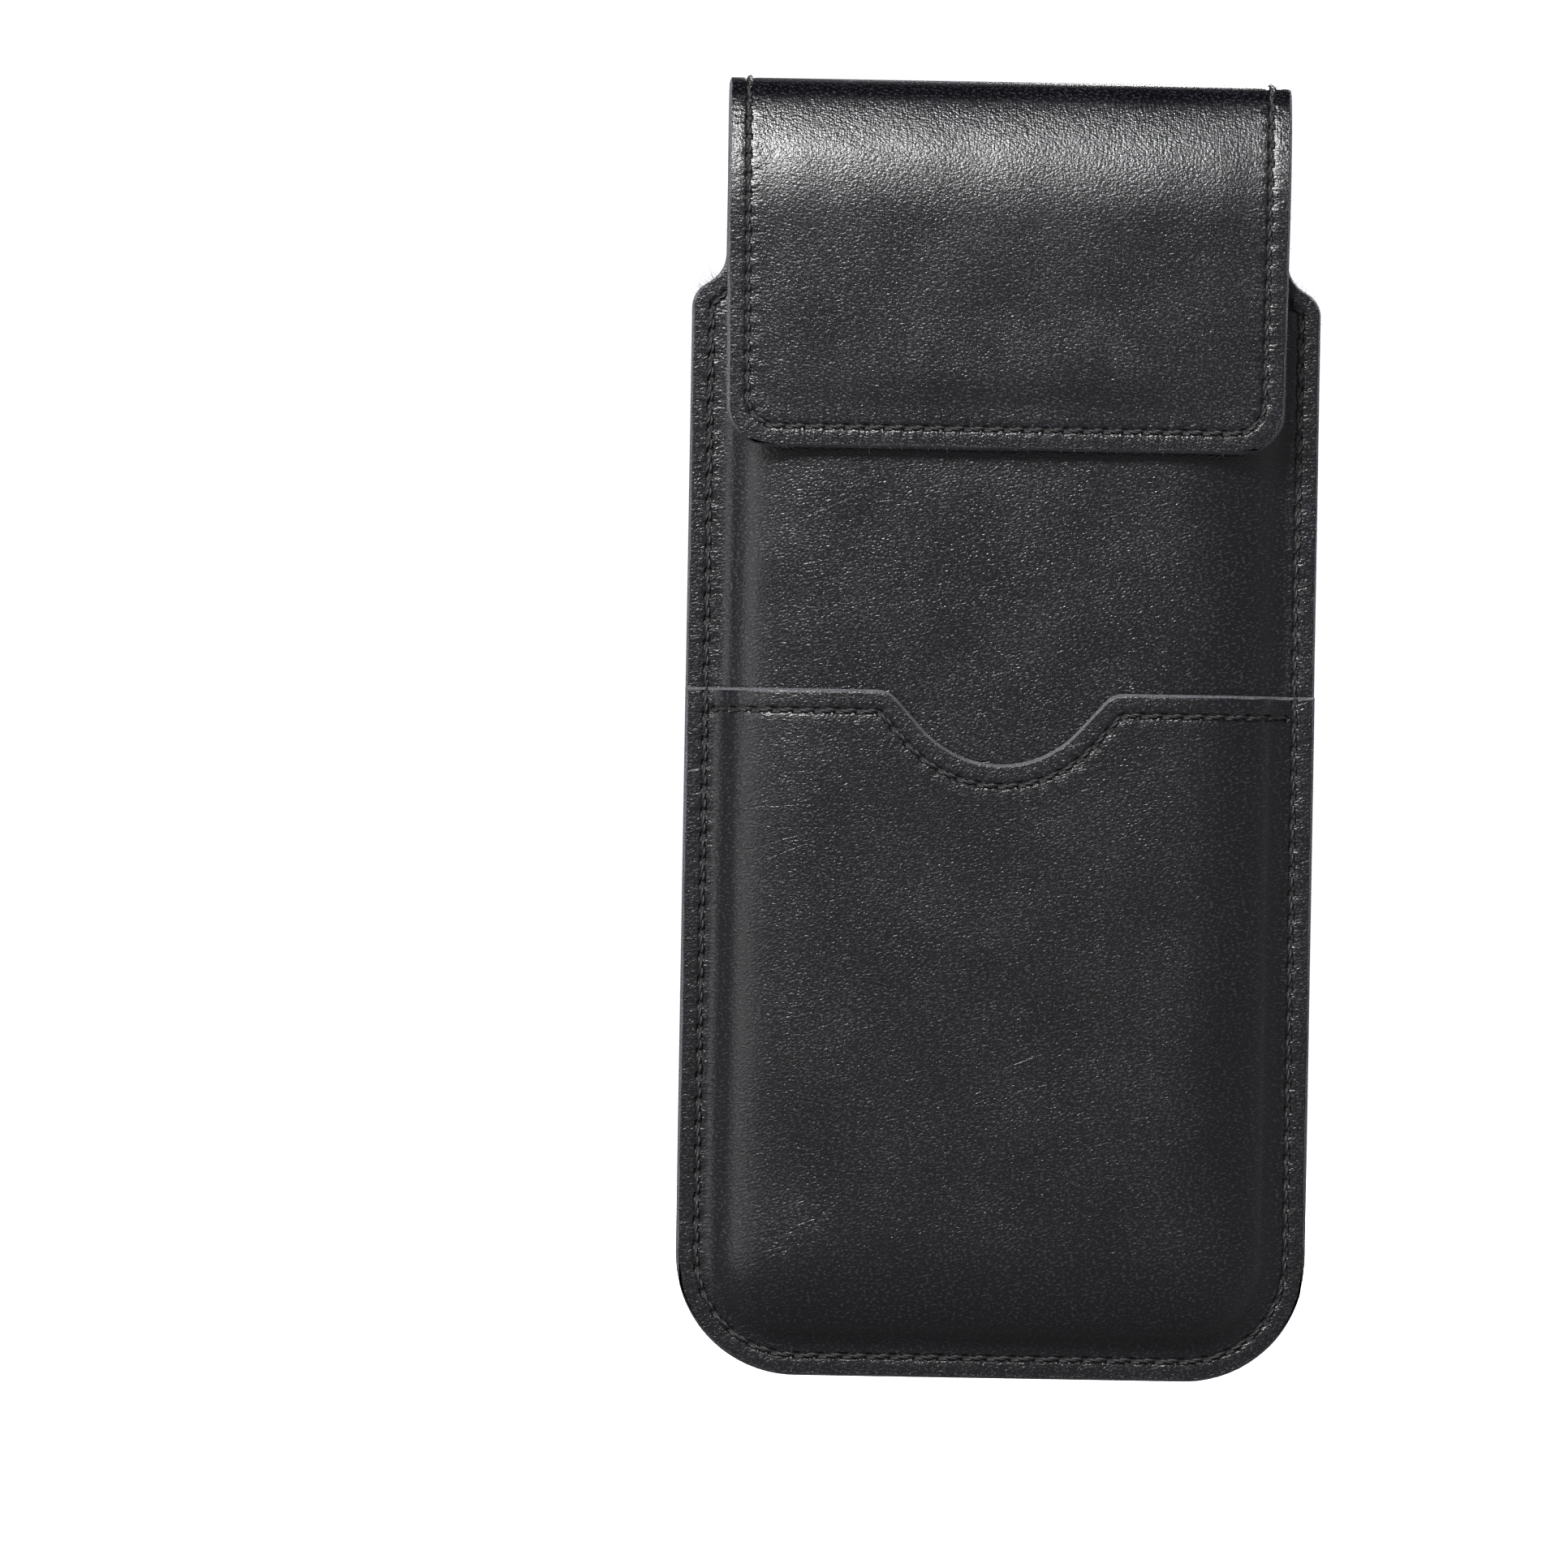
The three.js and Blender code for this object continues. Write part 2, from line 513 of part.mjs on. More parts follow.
// ---- Assembly --------------------------------------------------------------------------------------------
function buildFront() {
  const front = new THREE.Group();
  const leatherDepth = GLUE / 2 + LINING + GLUE;
  const liningDepth = GLUE / 2;
  const closureZ = flapFoot + MAGNET_ABOVE_FLAP_EDGE;
  const plate = recessedBar(PLATE, -(leatherDepth + FRONT_CROWN), closureZ);
  const leather = cutFrom(frontSheet(leatherDepth, leatherDepth + LEATHER), plate.recess);
  const pocketLiningDepth = edgeFace + GLUE;
  const pocketLeatherDepth = pocketLiningDepth + POCKET_LINING + GLUE;
  const overLip = [POCKET_HEIGHT + 1.6, POCKET_HEIGHT + 0.5];
  const seam = seamLine(MOUTH - 1, overLip).map((p) => {
    const face = p.y > POCKET_HEIGHT + 1 ? edgeFace : pocketEdgeFace;
    return new THREE.Vector3(p.x, -face - FRONT_CROWN * crown(p.x, p.y, SEAM_CROWN_START), p.y);
  });
  front.add(
    named("front_leather", leather, "leather"),
    named("front_lining", frontSheet(liningDepth, liningDepth + LINING), "lining"),
    named("closure_plate", plate.bar, "steel"),
    named("card_pocket_leather", pocketSheet(pocketLeatherDepth, pocketEdgeFace), "leather"),
    named("card_pocket_lining", pocketSheet(pocketLiningDepth, pocketLiningDepth + POCKET_LINING), "lining"),
    named("perimeter_seam_front", threadBand(seam, -1), "thread"),
    named("card_pocket_seam", threadBand(pocketSeamPoints(), -1), "thread"),
  );
  return front;
}

function buildBack() {
  const back = new THREE.Group();
  const seam = seamLine(MOUTH - 1).map((p) => {
    return new THREE.Vector3(p.x, edgeFace + BACK_CROWN * crown(p.x, p.y, SEAM_CROWN_START), p.y);
  });
  back.add(
    named("back_leather", backSheet(0, LEATHER), "leather"),
    named("back_lining", backSheet(LEATHER + GLUE, stack), "lining"),
    named("perimeter_seam_back", threadBand(seam, 1), "thread"),
  );
  return back;
}

function buildBeltLoop() {
  const loop = new THREE.Group();
  const route = beltLoopRoute();
  const seamX = BELT_LOOP_WIDTH / 2 - BELT_LOOP_SEAM_INSET;
  const rowWidth = 2 * seamX - 2 * THREAD.width;
  const leather = strip(route.stations, 0, BELT_LOOP_LEATHER, BELT_LOOP_WIDTH);
  const lining = strip(route.stations, BELT_LOOP_LEATHER + GLUE, beltStack, BELT_LOOP_WIDTH);
  loop.add(named("belt_loop_leather", leather, "leather"), named("belt_loop_lining", lining, "lining"));
  for (const [side, x] of Object.entries({ left: seamX, right: -seamX })) {
    const thread = threadOnStrip(route.outerLeg, THREAD.width, x);
    loop.add(named(`belt_loop_seam_${side}`, thread, "thread"));
  }
  for (const [row, above] of Object.entries(BELT_LOOP_ROWS)) {
    loop.add(named(`belt_loop_row_${row}`, threadOnStrip(beltLoopRow(above), rowWidth), "thread"));
  }
  return loop;
}

function buildRing() {
  const bar = { y: backFace + GLUE + TAB.leather + TAB.room + RING_WIRE / 2, z: RING_BAR_Z };
  const wire = named("d_ring", ringWire(), "nickel");
  wire.position.set(0, bar.y, bar.z);
  wire.rotation.x = RING_LEAN;
  return [named("d_ring_tab", ringTab(bar), "leather"), wire];
}

function buildKeeper() {
  const route = keeperRoute();
  return [
    named("keeper_tab", strip(route.stations, 0, KEEPER.leather, KEEPER.width), "leather"),
    named("keeper_seam", threadOnStrip(route.row, KEEPER_SEAM_WIDTH), "thread"),
  ];
}

function buildFlap() {
  const flap = new THREE.Group();
  const strips = ["rear", "front"].flatMap((place, hinge) => {
    const stations = foldStations(hinge);
    return [
      named(`fold_${place}_leather`, strip(stations, 0, LEATHER, NECK_WIDTH), "leather"),
      named(`fold_${place}_lining`, strip(stations, LEATHER + GLUE, stack, NECK_WIDTH), "lining"),
    ];
  });
  const closureZ = flapFoot + MAGNET_ABOVE_FLAP_EDGE;
  const magnet = recessedBar(MAGNET, LEATHER - flapFace, closureZ);
  flap.add(
    ...strips,
    named("flap_leather", cutFrom(flapSheet(0, LEATHER), magnet.recess), "leather"),
    named("flap_lining", flapSheet(LEATHER + GLUE, stack), "lining"),
    named("flap_magnet", magnet.bar, "steel"),
    named("flap_seam_outside", threadBand(flapSeamPoints(-flapFace), -1), "thread"),
    named("flap_seam_inside", threadBand(flapSeamPoints(stack - flapFace), 1), "thread"),
  );
  return flap;
}

const beltCase = new THREE.Group();
beltCase.add(buildFront(), buildBack(), buildBeltLoop(), ...buildRing(), ...buildKeeper(), buildFlap());
beltCase.position.copy(beltCentre).negate();

export default beltCase;
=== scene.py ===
"""Looks for a black leather belt case: every layer, edge, stitch and fitting is rebuilt over the fixed frame.

Lengths are millimetres in the case's own drawing frame, with z = 0 at the pouch's bottom edge and y = 0 in
the seam between the two linings. place() turns them into metres in the record's frame. A sheet's own
coordinates are u across it and v along it, and a _FACE is how far an outer face lies from y = 0.
"""

import json
from math import acos, atan, atan2, ceil, cos, degrees, pi, radians, sin, sqrt, tan

import bpy
import numpy as np
from mathutils import Matrix, Vector


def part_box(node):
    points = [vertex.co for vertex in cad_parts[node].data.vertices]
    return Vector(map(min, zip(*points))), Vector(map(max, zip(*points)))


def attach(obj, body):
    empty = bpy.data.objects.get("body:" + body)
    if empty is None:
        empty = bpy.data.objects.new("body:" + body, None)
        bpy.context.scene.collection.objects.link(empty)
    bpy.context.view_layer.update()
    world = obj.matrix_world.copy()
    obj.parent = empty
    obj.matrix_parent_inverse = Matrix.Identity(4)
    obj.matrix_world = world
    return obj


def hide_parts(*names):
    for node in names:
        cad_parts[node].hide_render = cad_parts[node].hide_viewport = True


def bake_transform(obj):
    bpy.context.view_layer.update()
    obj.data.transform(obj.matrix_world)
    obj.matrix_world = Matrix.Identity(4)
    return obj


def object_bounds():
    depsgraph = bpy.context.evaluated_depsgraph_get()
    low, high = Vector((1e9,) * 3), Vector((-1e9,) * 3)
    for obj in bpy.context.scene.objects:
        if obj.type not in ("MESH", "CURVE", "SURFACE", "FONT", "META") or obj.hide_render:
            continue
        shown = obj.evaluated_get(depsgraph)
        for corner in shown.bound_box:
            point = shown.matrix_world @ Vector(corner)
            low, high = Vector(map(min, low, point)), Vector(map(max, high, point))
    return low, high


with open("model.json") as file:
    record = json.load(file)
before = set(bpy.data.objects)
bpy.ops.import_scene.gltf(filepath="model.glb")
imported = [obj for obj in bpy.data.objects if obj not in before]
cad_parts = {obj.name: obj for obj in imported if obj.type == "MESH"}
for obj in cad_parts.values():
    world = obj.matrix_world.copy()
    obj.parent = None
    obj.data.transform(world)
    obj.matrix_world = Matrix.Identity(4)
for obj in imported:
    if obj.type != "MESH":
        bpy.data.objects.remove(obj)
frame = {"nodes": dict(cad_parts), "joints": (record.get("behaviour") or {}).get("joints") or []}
cad_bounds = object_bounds()

MM = 0.001


def corner_of(node, end):
    """Lowest (end 0) or highest (end 1) corner of a CAD node, in millimetres."""
    return np.array(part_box(node)[end]) / MM


# ---- Sizes ----
LEATHER = 1.3
LINING = 0.6
GLUE = 0.12
STACK = LEATHER + GLUE + LINING
EDGE_FACE = GLUE / 2 + STACK  # of either panel along its seam
CORNER = 18.0
SHOULDER_OUTER = 4.0
SHOULDER_INNER = 5.0
SHOULDER_FOOT = 159.3
SEAM_INSET = 3.1
CROWN_START = 4.2
CROWN_RUN = 20.0

shift = np.array(
    [0, corner_of("front_leather", 1)[1] + GLUE * 1.5 + LINING, corner_of("back_leather", 0)[2]]
)


def drawn(node, end):
    """The same corner in the drawing frame."""
    return corner_of(node, end) - shift


BODY_HALF, _, MOUTH = drawn("front_leather", 1)
NECK_HALF = drawn("flap_leather", 1)[0]
BACK_FACE = drawn("back_leather", 1)[1]
FLAP_FACE = -drawn("flap_leather", 0)[1]
FLAP_FOOT = drawn("flap_leather", 0)[2]
FLAP_CORNER = 6.5
FLAP_TAPER = 0.45  # of each side
BACK_CROWN = BACK_FACE - EDGE_FACE
FRONT_CROWN = -drawn("front_leather", 0)[1] - EDGE_FACE
REAR_HINGE = np.array(frame["joints"][0]["pos_m"]) / MM - shift
RING_BAR = np.array(frame["joints"][3]["pos_m"]) / MM - shift
shoulder_angle = acos(1 - (BODY_HALF - NECK_HALF) / (SHOULDER_OUTER + SHOULDER_INNER))
KNEE = SHOULDER_FOOT + SHOULDER_OUTER * sin(shoulder_angle)
SHOULDER_TOP = KNEE + SHOULDER_INNER * sin(shoulder_angle)

POCKET_TOP = drawn("card_pocket_leather", 1)[2]
POCKET_LEATHER = 1.2
POCKET_LINING = 0.4
POCKET_EDGE_FACE = EDGE_FACE + 2 * GLUE + POCKET_LINING + POCKET_LEATHER
POCKET_RISE = FRONT_CROWN + 1
POCKET_SEAM_INSET = 3.3
NOTCH_DEPTH = 10.8
NOTCH_RADIUS = 15.5
NOTCH_LIP = 3.6
NOTCH_ANGLE = radians(48)

SOFT_BACK = (8.0, 15.0)  # length and degrees of the fold's soft start on the back
SOFT_FRONT = (18.0, 25.0)  # and of its soft end on the flap
HINGES = 3

HEM_STITCH = 2.95  # stitch length round the flap
BODY_STITCH = 3.57
LOOP_STITCH = 3.1


def place(points):
    """Drawing millimetres to metres in the record's frame."""
    return (np.asarray(points, float) + shift) * MM


# ---- Outlines ----
def smooth(t):
    """A soft step from 0 at t = 0 to 1 at t = 1."""
    t = np.clip(t, 0, 1)
    return t * t * (3 - 2 * t)


def half_width(z):
    """Half the case's width at a height: round bottom corners, straight sides, S-shaped shoulders, neck."""
    z = np.asarray(z, float)
    corner = BODY_HALF - CORNER + np.sqrt(CORNER**2 - (CORNER - np.clip(z, 0, CORNER)) ** 2)
    up = np.clip(z - SHOULDER_FOOT, 0, KNEE - SHOULDER_FOOT)
    outer = BODY_HALF - SHOULDER_OUTER + np.sqrt(SHOULDER_OUTER**2 - up**2)
    down = np.clip(SHOULDER_TOP - z, 0, SHOULDER_TOP - KNEE)
    inner = NECK_HALF + SHOULDER_INNER - np.sqrt(SHOULDER_INNER**2 - down**2)
    return np.where(z < CORNER, corner, np.where(z < KNEE, outer, inner))


def crown(x, z, start):
    """From 0 near the sewn edges to 1 in the middle of a panel: it rises at once and levels out slowly."""
    over_side = np.abs(x) - (half_width(np.maximum(z, CORNER)) - CORNER)
    over_foot = CORNER - z
    corner = np.hypot(np.maximum(over_side, 0), np.maximum(over_foot, 0))
    inside = CORNER - corner - np.minimum(np.maximum(over_side, over_foot), 0)
    t = np.clip((inside - start) / CROWN_RUN, 0, 1)
    t = t * smooth(t / 0.25)
    return 1 - (1 - t) ** 3


def notch_dip(x):
    """How far the card pocket's edge dips below its straight lip."""
    away = np.abs(x)
    sine, cosine = sin(NOTCH_ANGLE), cos(NOTCH_ANGLE)
    arc_end = NOTCH_RADIUS * sine
    arc_end_dip = NOTCH_DEPTH - NOTCH_RADIUS * (1 - cosine)
    lip_start = arc_end + (arc_end_dip - NOTCH_LIP * (1 - cosine)) / tan(NOTCH_ANGLE)
    lip_end = lip_start + NOTCH_LIP * sine
    bowl = NOTCH_DEPTH - NOTCH_RADIUS + np.sqrt(np.maximum(NOTCH_RADIUS**2 - away**2, 0))
    slope = arc_end_dip - (away - arc_end) * tan(NOTCH_ANGLE)
    lip = NOTCH_LIP - np.sqrt(np.maximum(NOTCH_LIP**2 - (lip_end - away) ** 2, 0))
    return np.select([away < arc_end, away < lip_start, away < lip_end], [bowl, slope, lip], 0.0)


def ripple(u, v, seed, size):
    """Slow unevenness of hand-worked leather, about -1 to 1: four waves, each turned and shorter."""
    total = 0
    for i in range(4):
        turn = seed + 2.4 * i
        wave = 2 * pi / (size * 0.72**i)
        total = total + np.sin((u * cos(turn) + v * sin(turn)) * wave + 1.7 * seed + i) * 0.7**i
    return total / 2.0


# ---- Routes in the YZ plane ----
def route(y, z, moves, heading=0.0, step=0.4):
    """Rows (y, z, ny, nz, run) along moves of (length, degrees) or (height, None), which leads straight to
    that height. Heading 0 is up and a positive turn leads up, over and down in front. The normal is on the
    outer side."""
    heading = radians(heading)
    run = 0.0
    rows = [(y, z, cos(heading), sin(heading), run)]
    for length, bend in moves:
        if bend is None:
            length, bend = abs(length - z), 0
        count = max(1, ceil(length / step))
        turn = radians(bend) / count
        hop = length / count
        if turn:
            hop *= sin(turn / 2) / (turn / 2)
        for _ in range(count):
            heading += turn / 2
            y -= sin(heading) * hop
            z += cos(heading) * hop
            heading += turn / 2
            run += length / count
            rows.append((y, z, cos(heading), sin(heading), run))
    return np.array(rows)


def arc(radius, bend):
    """The move round an arc of so many degrees."""
    return (radius * radians(abs(bend)), bend)


def on_route(rows):
    """The surface that a route sweeps across X, as a function of u (x), v (run) and depth under its face."""

    def surface(u, v, depth=0.0):
        u, v = np.broadcast_arrays(u, v)
        y, z, ny, nz = (np.interp(v, rows[:, 4], rows[:, i]) for i in range(4))
        return np.stack([u, y - ny * depth, z - nz * depth], -1)

    return surface


# ---- Surfaces of the panels: (u, v, depth under the outer face) to a point ----
def panel(face, height, start, unevenness, seed, size):
    """A front panel's surface. Its face is sewn down round the edge and stands higher in the middle."""

    def surface(u, v, depth=0.0):
        lift = crown(u, v, start)
        rise = height * lift + unevenness * lift * ripple(u, v, seed, size)
        return np.stack([u, depth - face - rise, v], -1)

    return surface


front_surface = panel(EDGE_FACE, FRONT_CROWN, CROWN_START, 0.07, 0.7, 26.0)
pocket_surface = panel(POCKET_EDGE_FACE, POCKET_RISE, CROWN_START - 0.8, 0.1, 2.1, 34.0)


def over_front(u, v, depth=0.0):
    """The front as the perimeter seam meets it: over the card pocket, and above it over the panel."""
    covered = smooth((POCKET_TOP + 0.6 - v) / 0.8)[..., None]
    return front_surface(u, v, depth) * (1 - covered) + pocket_surface(u, v, depth) * covered


def fold_route():
    """The fold and the flap, from the back panel's top to the flap's lower edge, and the tight arc's radius
    and degrees. The route starts at run 0."""
    (soft_back, back_turn), (soft_front, front_turn) = SOFT_BACK, SOFT_FRONT
    tight = 180 - back_turn - front_turn
    back_turn, front_turn = radians(back_turn), radians(front_turn)
    soft_back /= back_turn
    soft_front /= front_turn
    depth = BACK_FACE + FLAP_FACE
    depth -= soft_back * (1 - cos(back_turn)) + soft_front * (1 - cos(front_turn))
    radius = depth / (cos(back_turn) + cos(front_turn))
    # The rear hinge line lies on the outer face, half a hinge's share into the tight arc.
    centre_z = REAR_HINGE[2] - radius * sin(back_turn + radians(tight / HINGES / 2))
    start_z = centre_z + (radius - soft_back) * sin(back_turn)
    moves = [SOFT_BACK, arc(radius, tight), SOFT_FRONT, (FLAP_FOOT, None)]
    return route(BACK_FACE, start_z, moves, step=0.5), radius, tight


fold_rows, fold_radius, fold_turn = fold_route()
FOLD_START = fold_rows[0][1]
FLAP_END = FOLD_START + fold_rows[-1][4]
TIGHT_START = FOLD_START + SOFT_BACK[0]
TIGHT_END = TIGHT_START + fold_radius * radians(fold_turn)
FLAT_START = TIGHT_END + SOFT_FRONT[0]
MAGNET_RUN = FLAP_END + FLAP_FOOT - (drawn("flap_magnet", 0)[2] + drawn("flap_magnet", 1)[2]) / 2
MAGNET_MARK = (14.6, 5.0, 9.0)  # the mark's half width, and its reach below and above the magnet's middle
fold_surface = on_route(fold_rows)


def magnet_mark(u, v):
    """The magnet shows through the flap as a faint bar, mostly by its lower edge. From 0 to 1."""
    half, below, above = MAGNET_MARK
    rows = smooth((MAGNET_RUN + below - v) / 1.2) * smooth((v - MAGNET_RUN + above) / 7)
    return smooth((half - np.abs(u)) / 1.5) * rows


def back_surface(u, v, depth=0.0):
    """Back panel, fold and flap as one sheet: v is the height up to the fold, and the run from there on."""
    u, v = np.broadcast_arrays(u, v)
    lift = crown(u, v, CROWN_START)
    free = smooth((v - MOUTH) / (FOLD_START - MOUTH))
    rise = BACK_CROWN * (lift + (1 - lift) * free) + 0.08 * lift * (1 - free) * ripple(u, v, 4.4, 26.0)
    panel = np.stack([u, EDGE_FACE + rise - depth, v], -1)
    side = NECK_HALF - np.abs(u)
    inside = smooth((side - 4) / 8) * smooth((FLAP_END - v - 4) / 8) * smooth((v - TIGHT_END) / 10)
    puff = 0.05 * inside * ripple(u, v, 1.3, 22.0) + 0.25 * inside + 0.11 * magnet_mark(u, v)
    bent = fold_surface(u, v - FOLD_START, depth - puff)
    return np.where((v <= FOLD_START)[..., None], panel, bent)


def back_half_width(v):
    """Half width of the back sheet along its run, with the flap's slight taper and rounded corners."""
    v = np.asarray(v, float)
    into = np.clip(v - (FLAP_END - FLAP_CORNER), 0, FLAP_CORNER)
    round_off = FLAP_CORNER - np.sqrt(FLAP_CORNER**2 - into**2)
    taper = FLAP_TAPER * smooth((v - TIGHT_END) / (FLAP_END - TIGHT_END))
    return np.where(v <= FOLD_START, half_width(v), NECK_HALF - taper - round_off)


# ---- Grids ----
NEAR_EDGE = (0, 0.65, 1.1, 1.6, 2.1, 2.6, 3.1, 3.6, 4.2, 5, 6, 7, 8, 9.5, 11, 12.5, 14)
STRIP_EDGE = (0, 0.6, 1.1, 1.6, 2.1, 2.7, 3.4, 4.1)


def spread(start, end, step):
    """Evenly spaced values after start, up to and with end."""
    count = max(1, ceil(abs(end - start) / step))
    return list(np.linspace(start, end, count + 1)[1:])


def grid(rows, widths, step=1.6, edge=NEAR_EDGE):
    """u and v of a sheet with a half width at each row. Its columns are close together near both edges."""
    widths = np.asarray(widths, float)[:, None]
    left = -widths + np.array(edge)
    count = max(2, ceil(2 * (float(widths.max()) - edge[-1]) / step))
    middle = np.linspace(-1, 1, count + 1)[1:-1] * (widths - edge[-1])
    u = np.hstack([left, middle, -left[:, ::-1]])
    return u, np.asarray(rows, float)[:, None] + 0 * u


def strip_rows(length, step):
    """Rows along a strip, close together near both ends."""
    near = STRIP_EDGE[:4]
    return np.array([*near, *spread(near[-1], length - near[-1], step), *[length - d for d in near[-2::-1]]])


def rounded_half(half, run, length, corner, both=False):
    """Half width of a strip whose first end, or both ends, have rounded corners."""
    run = np.asarray(run, float)
    near = np.minimum(run, length - run) if both else run
    into = np.clip(corner - near, 0, corner)
    return half - corner + np.sqrt(corner**2 - into**2)


BODY_ROWS = [*NEAR_EDGE, *spread(14, CORNER, 1.4), *spread(CORNER, SHOULDER_FOOT - 1, 1.8)]
BODY_ROWS += [*spread(SHOULDER_FOOT - 1, SHOULDER_TOP + 1, 0.6)]


# ---- Seam lines, as polylines in a sheet's own (u, v) ----
def arc_points(cx, cy, radius, start, end, count=12):
    turns = np.radians(np.linspace(start, end, count + 1))
    return [(cx + radius * cos(t), cy + radius * sin(t)) for t in turns]


def mirrored(points):
    """A line and its mirror image across x = 0, joined into one line."""
    return np.array([*points, *[(-x, y) for x, y in reversed(points)]])


def perimeter_line():
    """Down from the mouth's right end, round the bottom and up to its left end."""
    neck = NECK_HALF - SEAM_INSET
    turn = degrees(shoulder_angle)
    hollow, bulge = SHOULDER_INNER + SEAM_INSET, SHOULDER_OUTER - SEAM_INSET
    points = [(neck, MOUTH - 1), (neck, SHOULDER_TOP)]
    points += arc_points(NECK_HALF + SHOULDER_INNER, SHOULDER_TOP, hollow, 180, 180 + turn)
    points += arc_points(BODY_HALF - SHOULDER_OUTER, SHOULDER_FOOT, bulge, turn, 0)
    points += arc_points(BODY_HALF - CORNER, CORNER, CORNER - SEAM_INSET, 0, -90)
    return mirrored(points)


def flap_line():
    """Up from the neck over the fold, down the flap, across its foot and back, in run lengths."""
    side = NECK_HALF - SEAM_INSET
    corner = FLAP_CORNER - SEAM_INSET + 1
    low = FLAP_END - SEAM_INSET
    points = [(side, MOUTH - 1), (side, TIGHT_END), (side - FLAP_TAPER, low - corner)]
    points += arc_points(side - FLAP_TAPER - corner, low - corner, corner, 0, 90)
    return mirrored(points)


def pocket_line():
    """A parallel of the pocket's lip, with the notch."""
    end = BODY_HALF - SEAM_INSET - 0.9
    x = np.linspace(end, -end, 400)
    slope = (notch_dip(x + 0.05) - notch_dip(x - 0.05)) / 0.1
    down = POCKET_SEAM_INSET / np.hypot(1, slope)
    return np.stack([x - down * slope, POCKET_TOP - notch_dip(x) - down], -1)


def cleaned(line):
    """The line without repeated points, and the distance along it at each point."""
    gap = np.hypot(*np.diff(line, axis=0).T)
    line = line[np.concatenate([[True], gap > 1e-4])]
    return line, np.concatenate([[0], np.cumsum(np.hypot(*np.diff(line, axis=0).T))])


def seam_values(u, v, line, stitch):
    """For each point, how far it is from a seam (signed), where along it in stitches, and how far past its
    ends."""
    flat = np.stack([u.ravel(), v.ravel()], -1)
    nearest = np.full(len(flat), 1e9)
    values = np.zeros((len(flat), 3))
    line, run = cleaned(line)
    stitches = round(run[-1] / stitch) / run[-1]
    for a, b, start in zip(line[:-1], line[1:], run):
        step = b - a
        length = np.hypot(*step)
        way = flat - a
        ahead = way @ step / length
        aside = (step[0] * way[:, 1] - step[1] * way[:, 0]) / length
        on = np.clip(ahead, 0, length)
        gap = np.hypot(aside, ahead - on)
        at = start + on
        past = np.where((at <= 0) | (at >= run[-1]), np.abs(ahead - on), 0)
        far = np.where(past > 0, aside, np.where(aside < 0, -gap, gap))
        near = gap < nearest
        nearest[near] = gap[near]
        values[near] = np.stack([far, at * stitches, past], -1)[near]
    return values


# ---- Mesh making ----
GROOVE_HALF = 0.6
GROOVE_DEPTH = 0.13
INNER_BEVEL = 0.1
RIM_DEPTHS = np.array([0.1, 0.26, 0.5, 0.76, 0.92])
NO_SEAM = (60.0, 0, 60.0)


def put(name, data):
    """A new object in the scene."""
    made = bpy.data.objects.new(name, data)
    bpy.context.scene.collection.objects.link(made)
    return made


def grid_faces(rows, columns):
    at = np.arange(rows * columns).reshape(rows, columns)
    return np.stack([at[:-1, :-1], at[:-1, 1:], at[1:, 1:], at[1:, :-1]], -1).reshape(-1, 4)


def tube_faces(index):
    """Faces along tubes whose points are numbered by tube, step and side."""
    a, b = index[:, :-1], index[:, 1:]
    return np.stack([a, np.roll(a, -1, 2), np.roll(b, -1, 2), b], -1).reshape(-1, 4)


def turns(count):
    """Evenly spaced angles of a full circle."""
    return [2 * pi * k / count for k in range(count)]


def border(rows, columns):
    """Indices of the points round a grid's border."""
    at = np.arange(rows * columns).reshape(rows, columns)
    return np.concatenate([at[0], at[1:, -1], at[-1, -2::-1], at[-2:0:-1, 0]])


